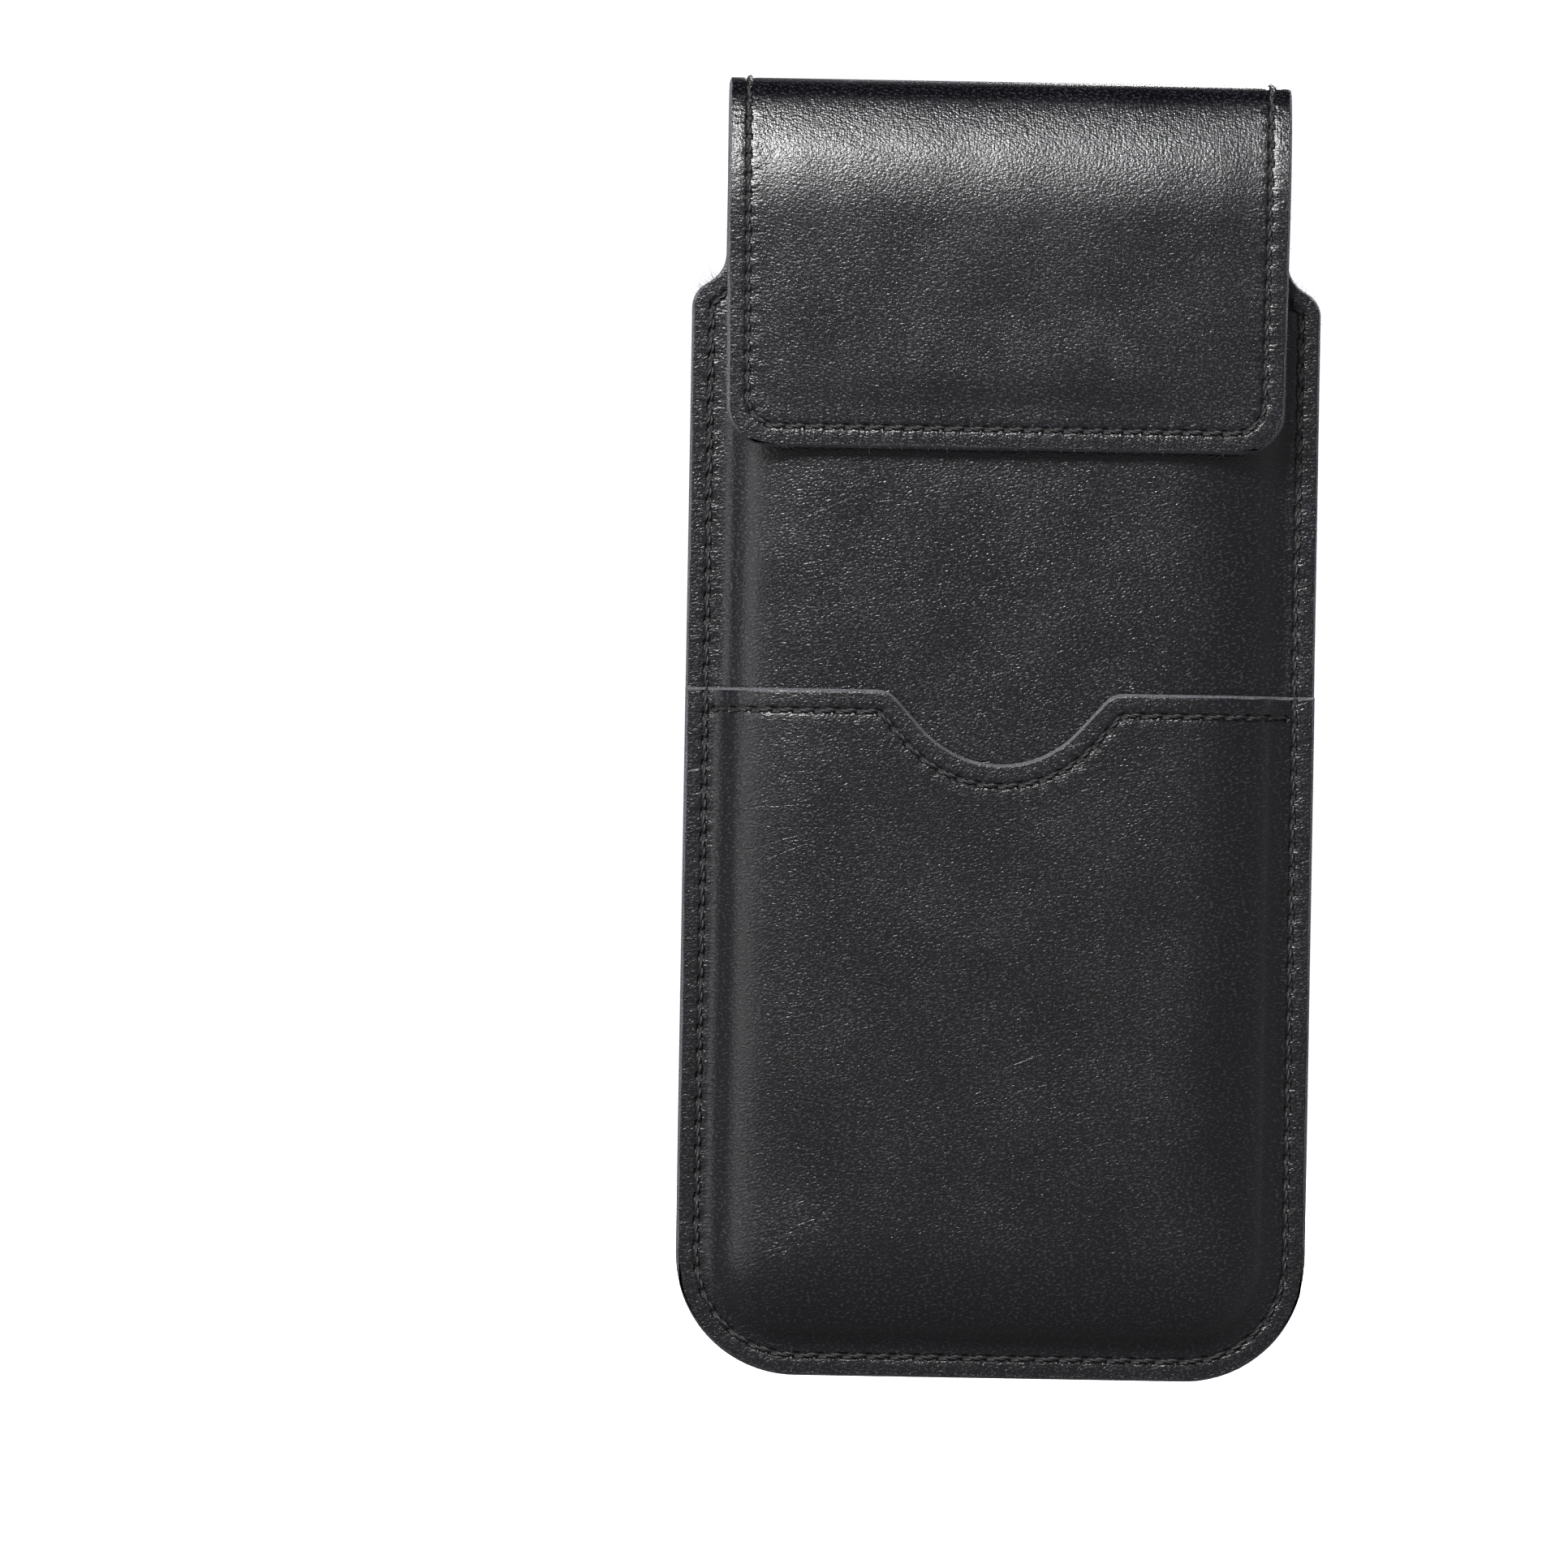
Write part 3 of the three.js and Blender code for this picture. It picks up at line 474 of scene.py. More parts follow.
class Sheet:
    """A layer of leather: an outer and an inner face over one grid, joined by a rounded, slanted cut edge."""

    def __init__(self, surface, u, v, thickness, seams=(), start_depth=0.0, bevel=0.4):
        rows, columns = u.shape
        outer = surface(u, v, start_depth)
        inner = surface(u, v, start_depth + thickness)
        seams = [seam_values(u, v, *seam) for seam in seams]
        # A groove that the thread lies in, pressed a little into the leather.
        for values in seams:
            pressed = np.exp(-((values[:, 0] / GROOVE_HALF) ** 2)) * (values[:, 2] < 0.5)
            down = surface(u, v, start_depth + GROOVE_DEPTH) - surface(u, v, start_depth)
            outer = outer + down * pressed.reshape(rows, columns, 1)
        flat = border(rows, columns)
        at = edge_row, edge_column = np.unravel_index(flat, (rows, columns))
        within = np.clip(edge_row, 1, rows - 2), np.clip(edge_column, 1, columns - 2)
        ahead = np.roll(outer[at], -1, 0) - np.roll(outer[at], 1, 0)
        outwards = np.cross(ahead, inner[at] - outer[at])
        outwards *= np.sign(np.sum(outwards * (outer[at] - outer[within]), 1))[:, None]
        outwards /= np.linalg.norm(outwards, axis=1)[:, None]
        edge_u, edge_v = u[at], v[at]
        cut = bevel(edge_v) if callable(bevel) else np.full(len(flat), bevel)
        cut = (cut * (1 + 0.22 * ripple(edge_u, edge_v, 3.3, 6.0)))[:, None]
        rim = []
        for depth in RIM_DEPTHS:
            inset = cut * (1 - depth) ** 1.6 + INNER_BEVEL * depth**6
            rim.append(outer[at] + (inner[at] - outer[at]) * depth - outwards * inset)
        self.cut_line = rim[1], outwards, (edge_u, edge_v)
        outer[at] -= outwards * cut
        inner[at] -= outwards * INNER_BEVEL
        count = rows * columns
        ring = len(flat)
        self.points = np.concatenate([outer.reshape(-1, 3), inner.reshape(-1, 3), *rim])
        levels = [flat, *[2 * count + k * ring + np.arange(ring) for k in range(len(rim))], flat + count]
        sides = []
        for a, b in zip(levels[:-1], levels[1:]):
            sides.append(np.stack([a, b, np.roll(b, -1), np.roll(a, -1)], -1))
        top = grid_faces(rows, columns)
        self.faces = np.concatenate([top, top[:, ::-1] + count, *sides])
        top_rows = np.repeat(np.arange(rows - 1), columns - 1)
        ring_rows = np.minimum(np.minimum(edge_row, np.roll(edge_row, -1)), rows - 2)
        self.face_row = np.concatenate([top_rows, top_rows, *[ring_rows] * len(sides)])
        # Slot 0 is the outer face's material, 1 the cut edge's and 2 the inner face's.
        self.face_slot = np.repeat([0, 2, 1], [len(top), len(top), ring * len(sides)])
        cloth = np.stack([u, v, np.zeros_like(u)], -1).reshape(-1, 3)
        below = cloth + [0, 0, thickness]
        edge = [cloth[flat] + [0, 0, thickness * d] for d in RIM_DEPTHS]
        self.values = {"cloth": np.concatenate([cloth, below, *edge])}
        blank = np.tile(NO_SEAM, (count + ring * len(rim), 1))
        for i, values in enumerate(seams or [blank[:count]]):
            self.values[f"seam_{i}"] = np.concatenate([values, blank])
        # Turn all faces round if the outer face points at the inner one.
        middle = (rows // 2) * columns + columns // 2
        a, b, d = self.points[[middle, middle + 1, middle + columns]]
        if np.dot(np.cross(b - a, d - a), a - self.points[middle + count]) < 0:
            self.faces = self.faces[:, ::-1]
        self.normals = vertex_normals(self.points, self.faces)

    def piece(self, name, look, first=0, last=None):
        """The part of the sheet from one grid row to another, with a look for its outer face."""
        last = self.face_row.max() + 1 if last is None else last
        kept = (self.face_row >= first) & (self.face_row < last)
        used, faces = np.unique(self.faces[kept], return_inverse=True)
        values = {key: value[used] for key, value in self.values.items()}
        looks, slots, normals = [look, EDGE, LINER], self.face_slot[kept], self.normals[used]
        return new_piece(name, self.points[used], faces.reshape(-1, 4), looks, slots, values, normals)


def vertex_normals(points, faces):
    normals = np.zeros_like(points)
    across_face = points[faces[:, 2]] - points[faces[:, 0]]
    other = points[faces[:, 3]] - points[faces[:, 1]]
    face_normals = np.cross(across_face, other)
    for corner in range(4):
        np.add.at(normals, faces[:, corner], face_normals)
    return normals / np.maximum(np.linalg.norm(normals, axis=1), 1e-12)[:, None]


def new_piece(name, points, faces, materials, slots=None, values=None, normals=None):
    """A mesh object in the record's frame, smooth-shaded, with vector attributes per vertex."""
    mesh = bpy.data.meshes.new(name)
    mesh.from_pydata(place(points).tolist(), [], faces if isinstance(faces, list) else faces.tolist())
    for material in materials:
        mesh.materials.append(material)
    if slots is not None:
        mesh.polygons.foreach_set("material_index", slots.astype(np.int32))
    for key, value in (values or {}).items():
        layer = mesh.attributes.new(key, "FLOAT_VECTOR", "POINT")
        layer.data.foreach_set("vector", value.astype(np.float32).ravel())
    mesh.shade_smooth()
    if normals is not None:
        mesh.normals_split_custom_set_from_vertices(normals.tolist())
    return put(name, mesh)


def settle(piece, slot, *nodes, body="pouch"):
    """The piece rides on a body and stands for CAD nodes, which are hidden. slot is not used."""
    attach(piece, body)
    if nodes:
        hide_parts(*nodes)
    return piece


# ---- Thread, fibres and wire ----
THREAD_RADIUS = 0.36
THREAD_TURNS = 1.25  # of its two plies in each stitch
PLY_SIDES = 6
STITCH_STEPS = 9
FIBRE_HALF = 0.022
FIBRE_STEPS = (0, 0.35, 0.7, 1)
FIBRE_SIDES = 3


def thread(name, surface, line, stitch, side=1, depth=0.0, slant=0.2, pick=None, offset=0.0):
    """A row of twisted two-ply stitches, each one rising out of its hole and diving into the next. pick says
    which stitches to keep by the u and v of their middles."""
    line, run = cleaned(line)
    count = round(run[-1] / stitch)
    t = np.linspace(0, 1, STITCH_STEPS + 1)
    at = (np.arange(count)[:, None] + t) * run[-1] / count
    if pick is not None:
        middle = at[:, STITCH_STEPS // 2]
        at = at[pick(*(np.interp(middle, run, line[:, i]) for i in range(2)))]
    u, v = (np.interp(at, run, line[:, i]) for i in range(2))
    points = surface(u, v, depth)
    normals = (surface(u, v, depth - 0.5) - surface(u, v, depth + 0.5)) * side
    normals /= np.linalg.norm(normals, axis=-1)[..., None]
    tangents = np.gradient(points, axis=1)
    tangents /= np.linalg.norm(tangents, axis=-1)[..., None]
    sideways = np.cross(normals, tangents)
    points = points + sideways * offset
    height = THREAD_RADIUS * 0.2 - THREAD_RADIUS * 2.0 * np.abs(2 * t - 1) ** 5
    lean = slant * (2 * t - 1)
    centres = points + normals * height[:, None] + sideways * lean[:, None]
    angle = 2 * pi * THREAD_TURNS * t
    rings = []
    for ply in (0, pi):
        swirl = np.sin(angle + ply)[:, None] * normals + np.cos(angle + ply)[:, None] * sideways
        spine = centres + swirl * THREAD_RADIUS * 0.45
        for turn in turns(PLY_SIDES):
            out = cos(turn) * sideways + sin(turn) * normals
            rings.append(spine + out * THREAD_RADIUS * 0.58)
    rings = np.stack(rings, 2).reshape(len(points), STITCH_STEPS + 1, 2, PLY_SIDES, 3)
    rings = rings.transpose(0, 2, 1, 3, 4)  # stitch, ply, step, side
    index = np.arange(rings.size // 3).reshape(-1, STITCH_STEPS + 1, PLY_SIDES)
    return new_piece(name, rings.reshape(-1, 3), tube_faces(index), [THREAD])


def sew(name, surface, line, stitch, *nodes, **how):
    """A row of stitches on the pouch that stands for CAD nodes."""
    settle(thread(name, surface, line, stitch, **how), "thread", *nodes)


def fray(name, sheet, slot, per_mm, reach, seed, pick=None, material=None, body="pouch"):
    """Loose fibres along a sheet's cut edge. pick weighs the edge's points by their u and v."""
    random = np.random.default_rng(seed)
    spots, outwards, (u, v) = sheet.cut_line
    gaps = np.linalg.norm(np.roll(spots, -1, 0) - spots, axis=1)
    weight = gaps * (pick(u, v) if pick else 1.0)
    count = int(weight.sum() * per_mm)
    chosen = random.choice(len(spots), count, p=weight / weight.sum())
    share = random.random((count, 1))
    roots = spots[chosen] * (1 - share) + np.roll(spots, -1, 0)[chosen] * share
    outwards = outwards[chosen]
    roots = roots - outwards * 0.12
    lean = random.normal(0, 0.55, (count, 3))
    curl = random.normal(0, 0.5, (count, 3))
    length = reach * random.uniform(0.25, 1.0, (count, 1))
    points = []
    for step in FIBRE_STEPS:
        spine = roots + (outwards + lean) * length * step + curl * length * step**2 * 0.5
        wide = FIBRE_HALF * (1 - 0.7 * step)
        for turn in turns(FIBRE_SIDES):
            points.append(spine + wide * np.array([cos(turn), sin(turn), sin(turn + 1)]))
    points = np.stack(points, 1)
    index = np.arange(points.size // 3).reshape(count, len(FIBRE_STEPS), FIBRE_SIDES)
    faces = [*tube_faces(index).tolist(), *index[:, 0, ::-1].tolist(), *index[:, -1].tolist()]
    cloth = np.repeat(roots, points.shape[1], 0)
    made = new_piece(name, points.reshape(-1, 3), faces, [material or EDGE], values={"cloth": cloth})
    settle(made, slot, body=body)


def wire(name, path, radius, material, sides=20):
    """A closed round wire along a path in a plane."""
    path = np.asarray(path, float)
    tangents = np.roll(path, -1, 0) - np.roll(path, 1, 0)
    tangents /= np.linalg.norm(tangents, axis=1)[:, None]
    flat = np.cross(path[1] - path[0], path[len(path) // 3] - path[0])
    flat /= np.linalg.norm(flat)
    sideways = np.cross(tangents, flat)
    rings = [path + (cos(turn) * sideways + sin(turn) * flat) * radius for turn in turns(sides)]
    index = np.arange(len(path) * sides).reshape(len(path), sides)
    faces = tube_faces(np.vstack([index, index[:1]])[None])
    return new_piece(name, np.stack(rings, 1).reshape(-1, 3), faces, [material])


# ---- Materials ----
class Signal:
    """A number that runs through a node tree. Sums and products with it add math nodes."""

    def __init__(self, nodes, socket):
        self.nodes = nodes
        self.socket = socket

    def __add__(self, other):
        return self.nodes.math("ADD", self, other)

    def __sub__(self, other):
        return self.nodes.math("SUBTRACT", self, other)

    def __mul__(self, other):
        return self.nodes.math("MULTIPLY", self, other)

    def __abs__(self):
        return self.nodes.math("ABSOLUTE", self)


class Nodes:
    """A node tree, with short ways to add nodes to it."""

    def __init__(self, tree):
        self.tree = tree

    def link(self, source, target):
        """Set an input to a number or to a tuple of three, or join it to an output."""
        if isinstance(source, (int, float)):
            target.default_value = source
        elif isinstance(source, tuple):
            target.default_value = (*source, 1)[: len(target.default_value)]
        else:
            self.tree.links.new(source.socket if isinstance(source, Signal) else source, target)

    def node(self, kind, inputs=(), **settings):
        """A new node. Its inputs are given by name or number."""
        made = self.tree.nodes.new("ShaderNode" + kind)
        for key, value in settings.items():
            setattr(made, key, value)
        for key, source in dict(inputs).items():
            self.link(source, made.inputs[key])
        return made

    def math(self, operation, *values):
        return Signal(self, self.node("Math", enumerate(values), operation=operation).outputs[0])

    def scaled(self, vector, size):
        return self.node("VectorMath", {0: vector, 1: size}, operation="MULTIPLY").outputs[0]

    def dot(self, vector, other):
        made = self.node("VectorMath", {0: vector, 1: other}, operation="DOT_PRODUCT")
        return Signal(self, made.outputs["Value"])

    def turned(self, vector, angle):
        inputs = {"Vector": vector, "Angle": radians(angle)}
        return self.node("VectorRotate", inputs, rotation_type="Z_AXIS").outputs[0]

    def split(self, vector):
        return [Signal(self, output) for output in self.node("SeparateXYZ", {0: vector}).outputs]

    def noise(self, vector, scale, detail=2.0, roughness=0.5, distortion=0.0):
        """Noise with one scale or one for each axis."""
        if isinstance(scale, tuple):
            vector, scale = self.scaled(vector, scale), 1.0
        inputs = {"Vector": vector, "Scale": scale, "Detail": detail}
        inputs |= {"Roughness": roughness, "Distortion": distortion}
        return Signal(self, self.node("TexNoise", inputs).outputs[0])

    def cells(self, vector, scale):
        """How far a point is from the edge of its cell."""
        made = self.node("TexVoronoi", {"Vector": vector, "Scale": scale}, feature="DISTANCE_TO_EDGE")
        return Signal(self, made.outputs["Distance"])

    def mapped(self, value, low, high, to_low=0.0, to_high=1.0):
        """A soft step from one value at low to another at high."""
        inputs = enumerate((value, low, high, to_low, to_high))
        return Signal(self, self.node("MapRange", inputs, interpolation_type="SMOOTHSTEP").outputs[0])

    def mix(self, share, low, high):
        """A colour between two colours."""
        return self.node("Mix", {0: share, 6: low, 7: high}, data_type="RGBA").outputs[2]


class Shader(Nodes):
    """A material with one principled surface."""

    def __init__(self, name, color, roughness, metallic=0.0, specular=0.5):
        self.material = bpy.data.materials.new(name)
        self.material.use_nodes = True
        super().__init__(self.material.node_tree)
        self.tree.nodes.clear()
        inputs = {"Base Color": color, "Roughness": roughness}
        inputs |= {"Metallic": metallic, "Specular IOR Level": specular}
        self.surface = self.node("BsdfPrincipled", inputs)
        self.node("OutputMaterial", {0: self.surface.outputs[0]})

    def attribute(self, name):
        return self.node("Attribute", attribute_name=name).outputs["Vector"]

    def drive(self, socket, source):
        self.link(source, self.surface.inputs[socket])

    def bump(self, height):
        """Relief of the surface, with its height in millimetres."""
        made = self.node("Bump", {"Strength": 1.0, "Distance": MM, "Height": height})
        self.drive("Normal", made.outputs[0])


def times(color, factor):
    return tuple(c * factor for c in color)


def fold_lines(shader, cloth, from_top):
    """Heights of the fine lines beside the fold, and of the creases at the neck, where the sheet leaves the
    stiff seam."""
    u, v, _ = shader.split(cloth)
    lines = shader.noise(cloth, (3.4, 0.75, 1.0), 1.0, 0.5, 0.3)
    before = shader.mapped(v, TIGHT_START - 16, TIGHT_START)
    behind = shader.mapped(v, TIGHT_END, TIGHT_END + 14, 1.0, 0.0)
    near_fold = before * behind * shader.mapped(from_top, 4.0, 6.5, 0.05, 1.0)
    at_neck = shader.mapped(abs(v - SHOULDER_TOP), 2.0, 8.0, 1.0, 0.0)
    at_neck = at_neck * shader.mapped(abs(u), NECK_HALF - 26, NECK_HALF - 8)
    level = shader.noise(cloth, (0.16, 1.5, 1.0), 1.0, 0.5, 0.6)
    return [lines * (near_fold * 0.07), level * (at_neck * 0.07)]


def wrinkles(shader, cloth, depth):
    """Heights of a few patches of thin, slanted wrinkles, and of soft level ones everywhere."""
    folds = shader.noise(shader.turned(cloth, -17), (0.045, 0.3, 0.3), 2.0, 0.5, 0.5)
    thin = shader.mapped(abs(folds - 0.5), 0.0, 0.022, 1.0, 0.0)
    patch = shader.mapped(shader.noise(cloth, 0.03, 1.0), 0.52, 0.68)
    level = shader.noise(cloth, (0.35, 1.7, 1.0), 2.0, 0.5, 0.4)
    return [thin * (patch * (-0.02 * depth)), level * (0.03 * depth)]


def seam_relief(shader, number):
    """Heights of a seam's groove, of the pull of its stitches and of the gathers beside it, and where its
    needle holes are."""
    far, along, past = shader.split(shader.attribute(f"seam_{number}"))
    gap = abs(far) + past * 2.0
    groove = shader.mapped(gap, 0.0, 0.8, -0.06, 0.0)
    pull = shader.math("COSINE", along * (2 * pi)) * shader.mapped(gap, 0.3, 2.2, -0.028, 0.0)
    flow = shader.node("CombineXYZ", {0: far * 0.42, 1: along * 4.6}).outputs[0]
    gathers = shader.noise(flow, 1.0, 1.0) * shader.mapped(gap, 0.5, 4.5, 0.09, 0.0)
    from_hole = shader.math("PINGPONG", along, 0.5)
    holes = shader.mapped(from_hole, 0.08, 0.2, 1, 0) * shader.mapped(gap, 0.2, 0.6, 1, 0)
    return [groove, pull, gathers], holes


LEATHER_TINT = (0.0042, 0.0041, 0.0056)
HOLE_SHADE = (0.0008, 0.0008, 0.0008)
HOLE_DEPTH = 0.35


def leather(
    name, seams=0, gloss=0.28, grain=1.0, creases=0.0, stretched=False, pierced=None, tint=LEATHER_TINT
):
    """Smooth black leather. seams is how many seams its sheet has, gloss its roughness, grain the depth of
    its fine pebbles and creases that of its wrinkles. stretched draws fine lines across a fold and pulls
    its top smooth, and pierced is where an awl went through."""
    shader = Shader(name, tint, gloss, specular=0.68)
    cloth = shader.attribute("cloth")
    # The pebbles are a little wider than high and lean like the hide's growth.
    fine = shader.noise(shader.turned(cloth, -14), (1.9, 3.3, 2.7), 1.0, 0.45, 0.3)
    fine_height = fine * (0.07 * grain)
    pebble = shader.mapped(shader.cells(cloth, 1.7), 0.0, 0.22)
    broad = shader.noise(cloth, 0.12, 2.0, 0.5)
    uneven = shader.noise(cloth, 0.07, 2.0)
    rough = uneven * 0.12 + (gloss - 0.06)
    if stretched:
        # Bent over the fold's top, the leather is pulled smooth.
        from_top = abs(shader.split(cloth)[1] - (TIGHT_START + TIGHT_END) / 2)
        calm = shader.mapped(from_top, 5.0, 10.0, 0.1, 1.0)
        fine_height = fine_height * calm
        pebble = pebble * calm
        rough = rough * shader.mapped(from_top, 6.0, 12.0, 0.85, 1.0)
    heights = [fine_height, broad * 0.02, pebble * (0.012 * grain)]
    if stretched:
        heights += fold_lines(shader, cloth, from_top)
    if creases:
        heights += wrinkles(shader, cloth, creases)
    hole = 0.0
    if pierced:
        spot = shader.node("VectorMath", {0: cloth, 1: pierced}, operation="DISTANCE")
        hole = shader.mapped(spot.outputs["Value"], 0.32, 0.5, 1.0, 0.0)
    for number in range(seams):
        relief, needle_holes = seam_relief(shader, number)
        heights += relief
        hole = needle_holes + hole
    shader.bump(sum(heights[1:], heights[0]) + shader.math("MULTIPLY", hole, -HOLE_DEPTH))
    # Painted highlights: the top of each fine pebble is painted lighter, standing in for the glints of light
    # on the grain.
    painted_glints = shader.mapped(fine, 0.52, 0.7) * shader.mapped(uneven, 0.2, 0.8, 0.6, 1.0)
    tone = shader.mix(painted_glints, times(tint, 0.4), times(tint, 9))
    # Needle and awl holes are painted near black, a painted shade inside each hole on top of their pressed-in
    # relief.
    shader.drive("Base Color", shader.mix(hole, tone, HOLE_SHADE))
    shader.drive("Roughness", shader.math("MULTIPLY_ADD", hole, 0.4, rough))
    return shader.material


def cut_edge():
    """Raw edge of dyed leather: felted fibres, paler where they catch the light."""
    color = (0.17, 0.172, 0.19)
    shader = Shader("leather_cut_edge", color, 0.85, specular=0.35)
    cloth = shader.attribute("cloth")
    fibres = shader.noise(cloth, (3.0, 3.0, 9.0), 4.0, 0.7)
    shader.bump(fibres * 0.35)
    pale = shader.mapped(fibres, 0.35, 0.7)
    shader.drive("Base Color", shader.mix(pale, times(color, 0.4), times(color, 1.5)))
    return shader.material


def split_leather():
    """Thin matt split leather with a short nap."""
    shader = Shader("split_leather_lining", (0.016, 0.016, 0.018), 0.8, specular=0.25)
    shader.drive("Sheen Weight", 0.15)
    shader.drive("Sheen Roughness", 0.5)
    cloth = shader.attribute("cloth")
    nap = shader.noise(cloth, 3.2, 4.0, 0.65)
    blotches = shader.noise(cloth, 0.15, 2.0)
    shader.bump(nap * 0.12)
    tone = nap * 0.6 + blotches * 0.4
    shader.drive("Base Color", shader.mix(tone, (0.008, 0.008, 0.009), (0.03, 0.03, 0.034)))
    return shader.material


def one_noise(name, color, gloss, scale, relief, tones, detail=3.0, metallic=1.0):
    """Thread or metal, whose relief, tone and roughness follow one noise in object space."""
    shader = Shader(name, color, gloss[0], metallic)
    noise = shader.noise(shader.node("TexCoord").outputs["Object"], times(scale, 1 / MM), detail, 0.6)
    shader.bump(noise * relief)
    shader.drive("Base Color", shader.mix(noise, *tones))
    if gloss[1] > gloss[0]:
        shader.drive("Roughness", shader.mapped(noise, 0.3, 0.7, *gloss))
    return shader.material


EDGE = cut_edge()
LINER = split_leather()
WAX = ((0.006, 0.006, 0.006), (0.03, 0.03, 0.032))
THREAD = one_noise("waxed_black_thread", (0.012, 0.012, 0.013), (0.5, 0.5), (6, 6, 6), 0.08, WAX, 2.0, 0.0)
SHINE = ((0.7, 0.69, 0.67), (0.88, 0.87, 0.86))
NICKEL = one_noise("bright_nickel", (0.83, 0.82, 0.8), (0.08, 0.24), (1.2, 1.2, 1.2), 0.02, SHINE)
BRUSHED = ((0.38, 0.39, 0.41), (0.52, 0.53, 0.55))
STEEL = one_noise("plated_steel", (0.45, 0.46, 0.48), (0.3, 0.5), (0.3, 6, 6), 0.01, BRUSHED)
BACK_LOOK = leather("back_and_flap_leather", seams=2, stretched=True)
FRONT_LOOK = leather("front_panel_leather", seams=1, gloss=0.27, creases=0.5)
POCKET_LOOK = leather("card_pocket_leather", seams=2, gloss=0.3, creases=1.0, tint=(0.0035, 0.0034, 0.0047))
LOOP_LOOK = leather("belt_loop_leather", seams=4, grain=0.9)
TAB_LOOK = leather("d_ring_tab_leather", grain=0.9, gloss=0.22)


# ---- Front panel and card pocket ----
def at_shoulder(u, v):
    """Beside the knee of either shoulder, where loose thread sticks out."""
    return np.abs(v - KNEE) < 1.6


def back_tack(u, v):
    """The stitches below both shoulders, which are sewn twice."""
    return (v > SHOULDER_FOOT - 34) & (v < SHOULDER_FOOT + 1)


def build_front():
    rows = [*BODY_ROWS, *spread(BODY_ROWS[-1], MOUTH - 1.2, 1.2), MOUTH - 0.65, MOUTH]
    u, v = grid(rows, half_width(rows))
    outer = Sheet(front_surface, u, v, LEATHER, [(perimeter_line(), BODY_STITCH)])
    settle(outer.piece("front_panel", FRONT_LOOK), "front_leather", "front_leather")
    fray("front_panel_fibres", outer, "front_leather", 1.5, 0.4, 1)
    fray("shoulder_threads_front", outer, "front_leather", 6, 1.2, 2, at_shoulder, THREAD)
    inner = Sheet(front_surface, u, v, LINING, start_depth=LEATHER + GLUE, bevel=0.15)
    settle(inner.piece("front_panel_lining", LINER), "lining", "front_lining")


def pocket_grid():
    """Columns from edge to edge, close together in the notch, and rows that follow the foot and the lip."""
    edge = BODY_HALF - np.array(NEAR_EDGE)
    x = [*edge, *spread(edge[-1], 24, 1.6), *spread(24, 0, 0.8)]
    x = np.array([*[-a for a in x], *x[-2::-1]])
    over = np.maximum(np.abs(x) - (BODY_HALF - CORNER), 0)
    foot = CORNER - np.sqrt(np.maximum(CORNER**2 - over**2, 0))
    top = POCKET_TOP - notch_dip(x)
    near = np.array(NEAR_EDGE) / 96
    share = np.array([*near, *spread(near[-1], 1 - near[-1], 0.02), *(1 - near[-2::-1])])
    v = foot + (top - foot) * share[:, None]
    return np.broadcast_to(x, v.shape).copy(), v


def build_pocket():
    u, v = pocket_grid()
    lip = pocket_line()
    seams = [(perimeter_line(), BODY_STITCH), (lip, LOOP_STITCH)]
    skin = Sheet(pocket_surface, u, v, POCKET_LEATHER, seams, bevel=0.45)
    settle(skin.piece("card_pocket_skin", POCKET_LOOK), "front_leather", "card_pocket_leather")
    fray("card_pocket_fibres", skin, "front_leather", 1.5, 0.4, 3)
    inner = Sheet(pocket_surface, u, v, POCKET_LINING, start_depth=POCKET_LEATHER + GLUE, bevel=0.1)
    settle(inner.piece("card_pocket_inner", LINER), "lining", "card_pocket_lining")
    sew("card_pocket_stitches", pocket_surface, lip, LOOP_STITCH, "card_pocket_seam")


def sew_perimeter(side, surface):
    """The seam round the case on one side, with its doubled stitches."""
    line = perimeter_line()
    sew(f"perimeter_stitches_{side}", surface, line, BODY_STITCH, f"perimeter_seam_{side}")
    sew(f"perimeter_back_tack_{side}", surface, line, BODY_STITCH, slant=-0.3, offset=0.25, pick=back_tack)


# ---- Back panel, fold and flap ----
# The fold's sheets are cut here, in run lengths, into one piece for each hinge.
FOLD_CUTS = [TIGHT_START + (TIGHT_END - TIGHT_START) * (i / HINGES) for i in range(HINGES + 1)]


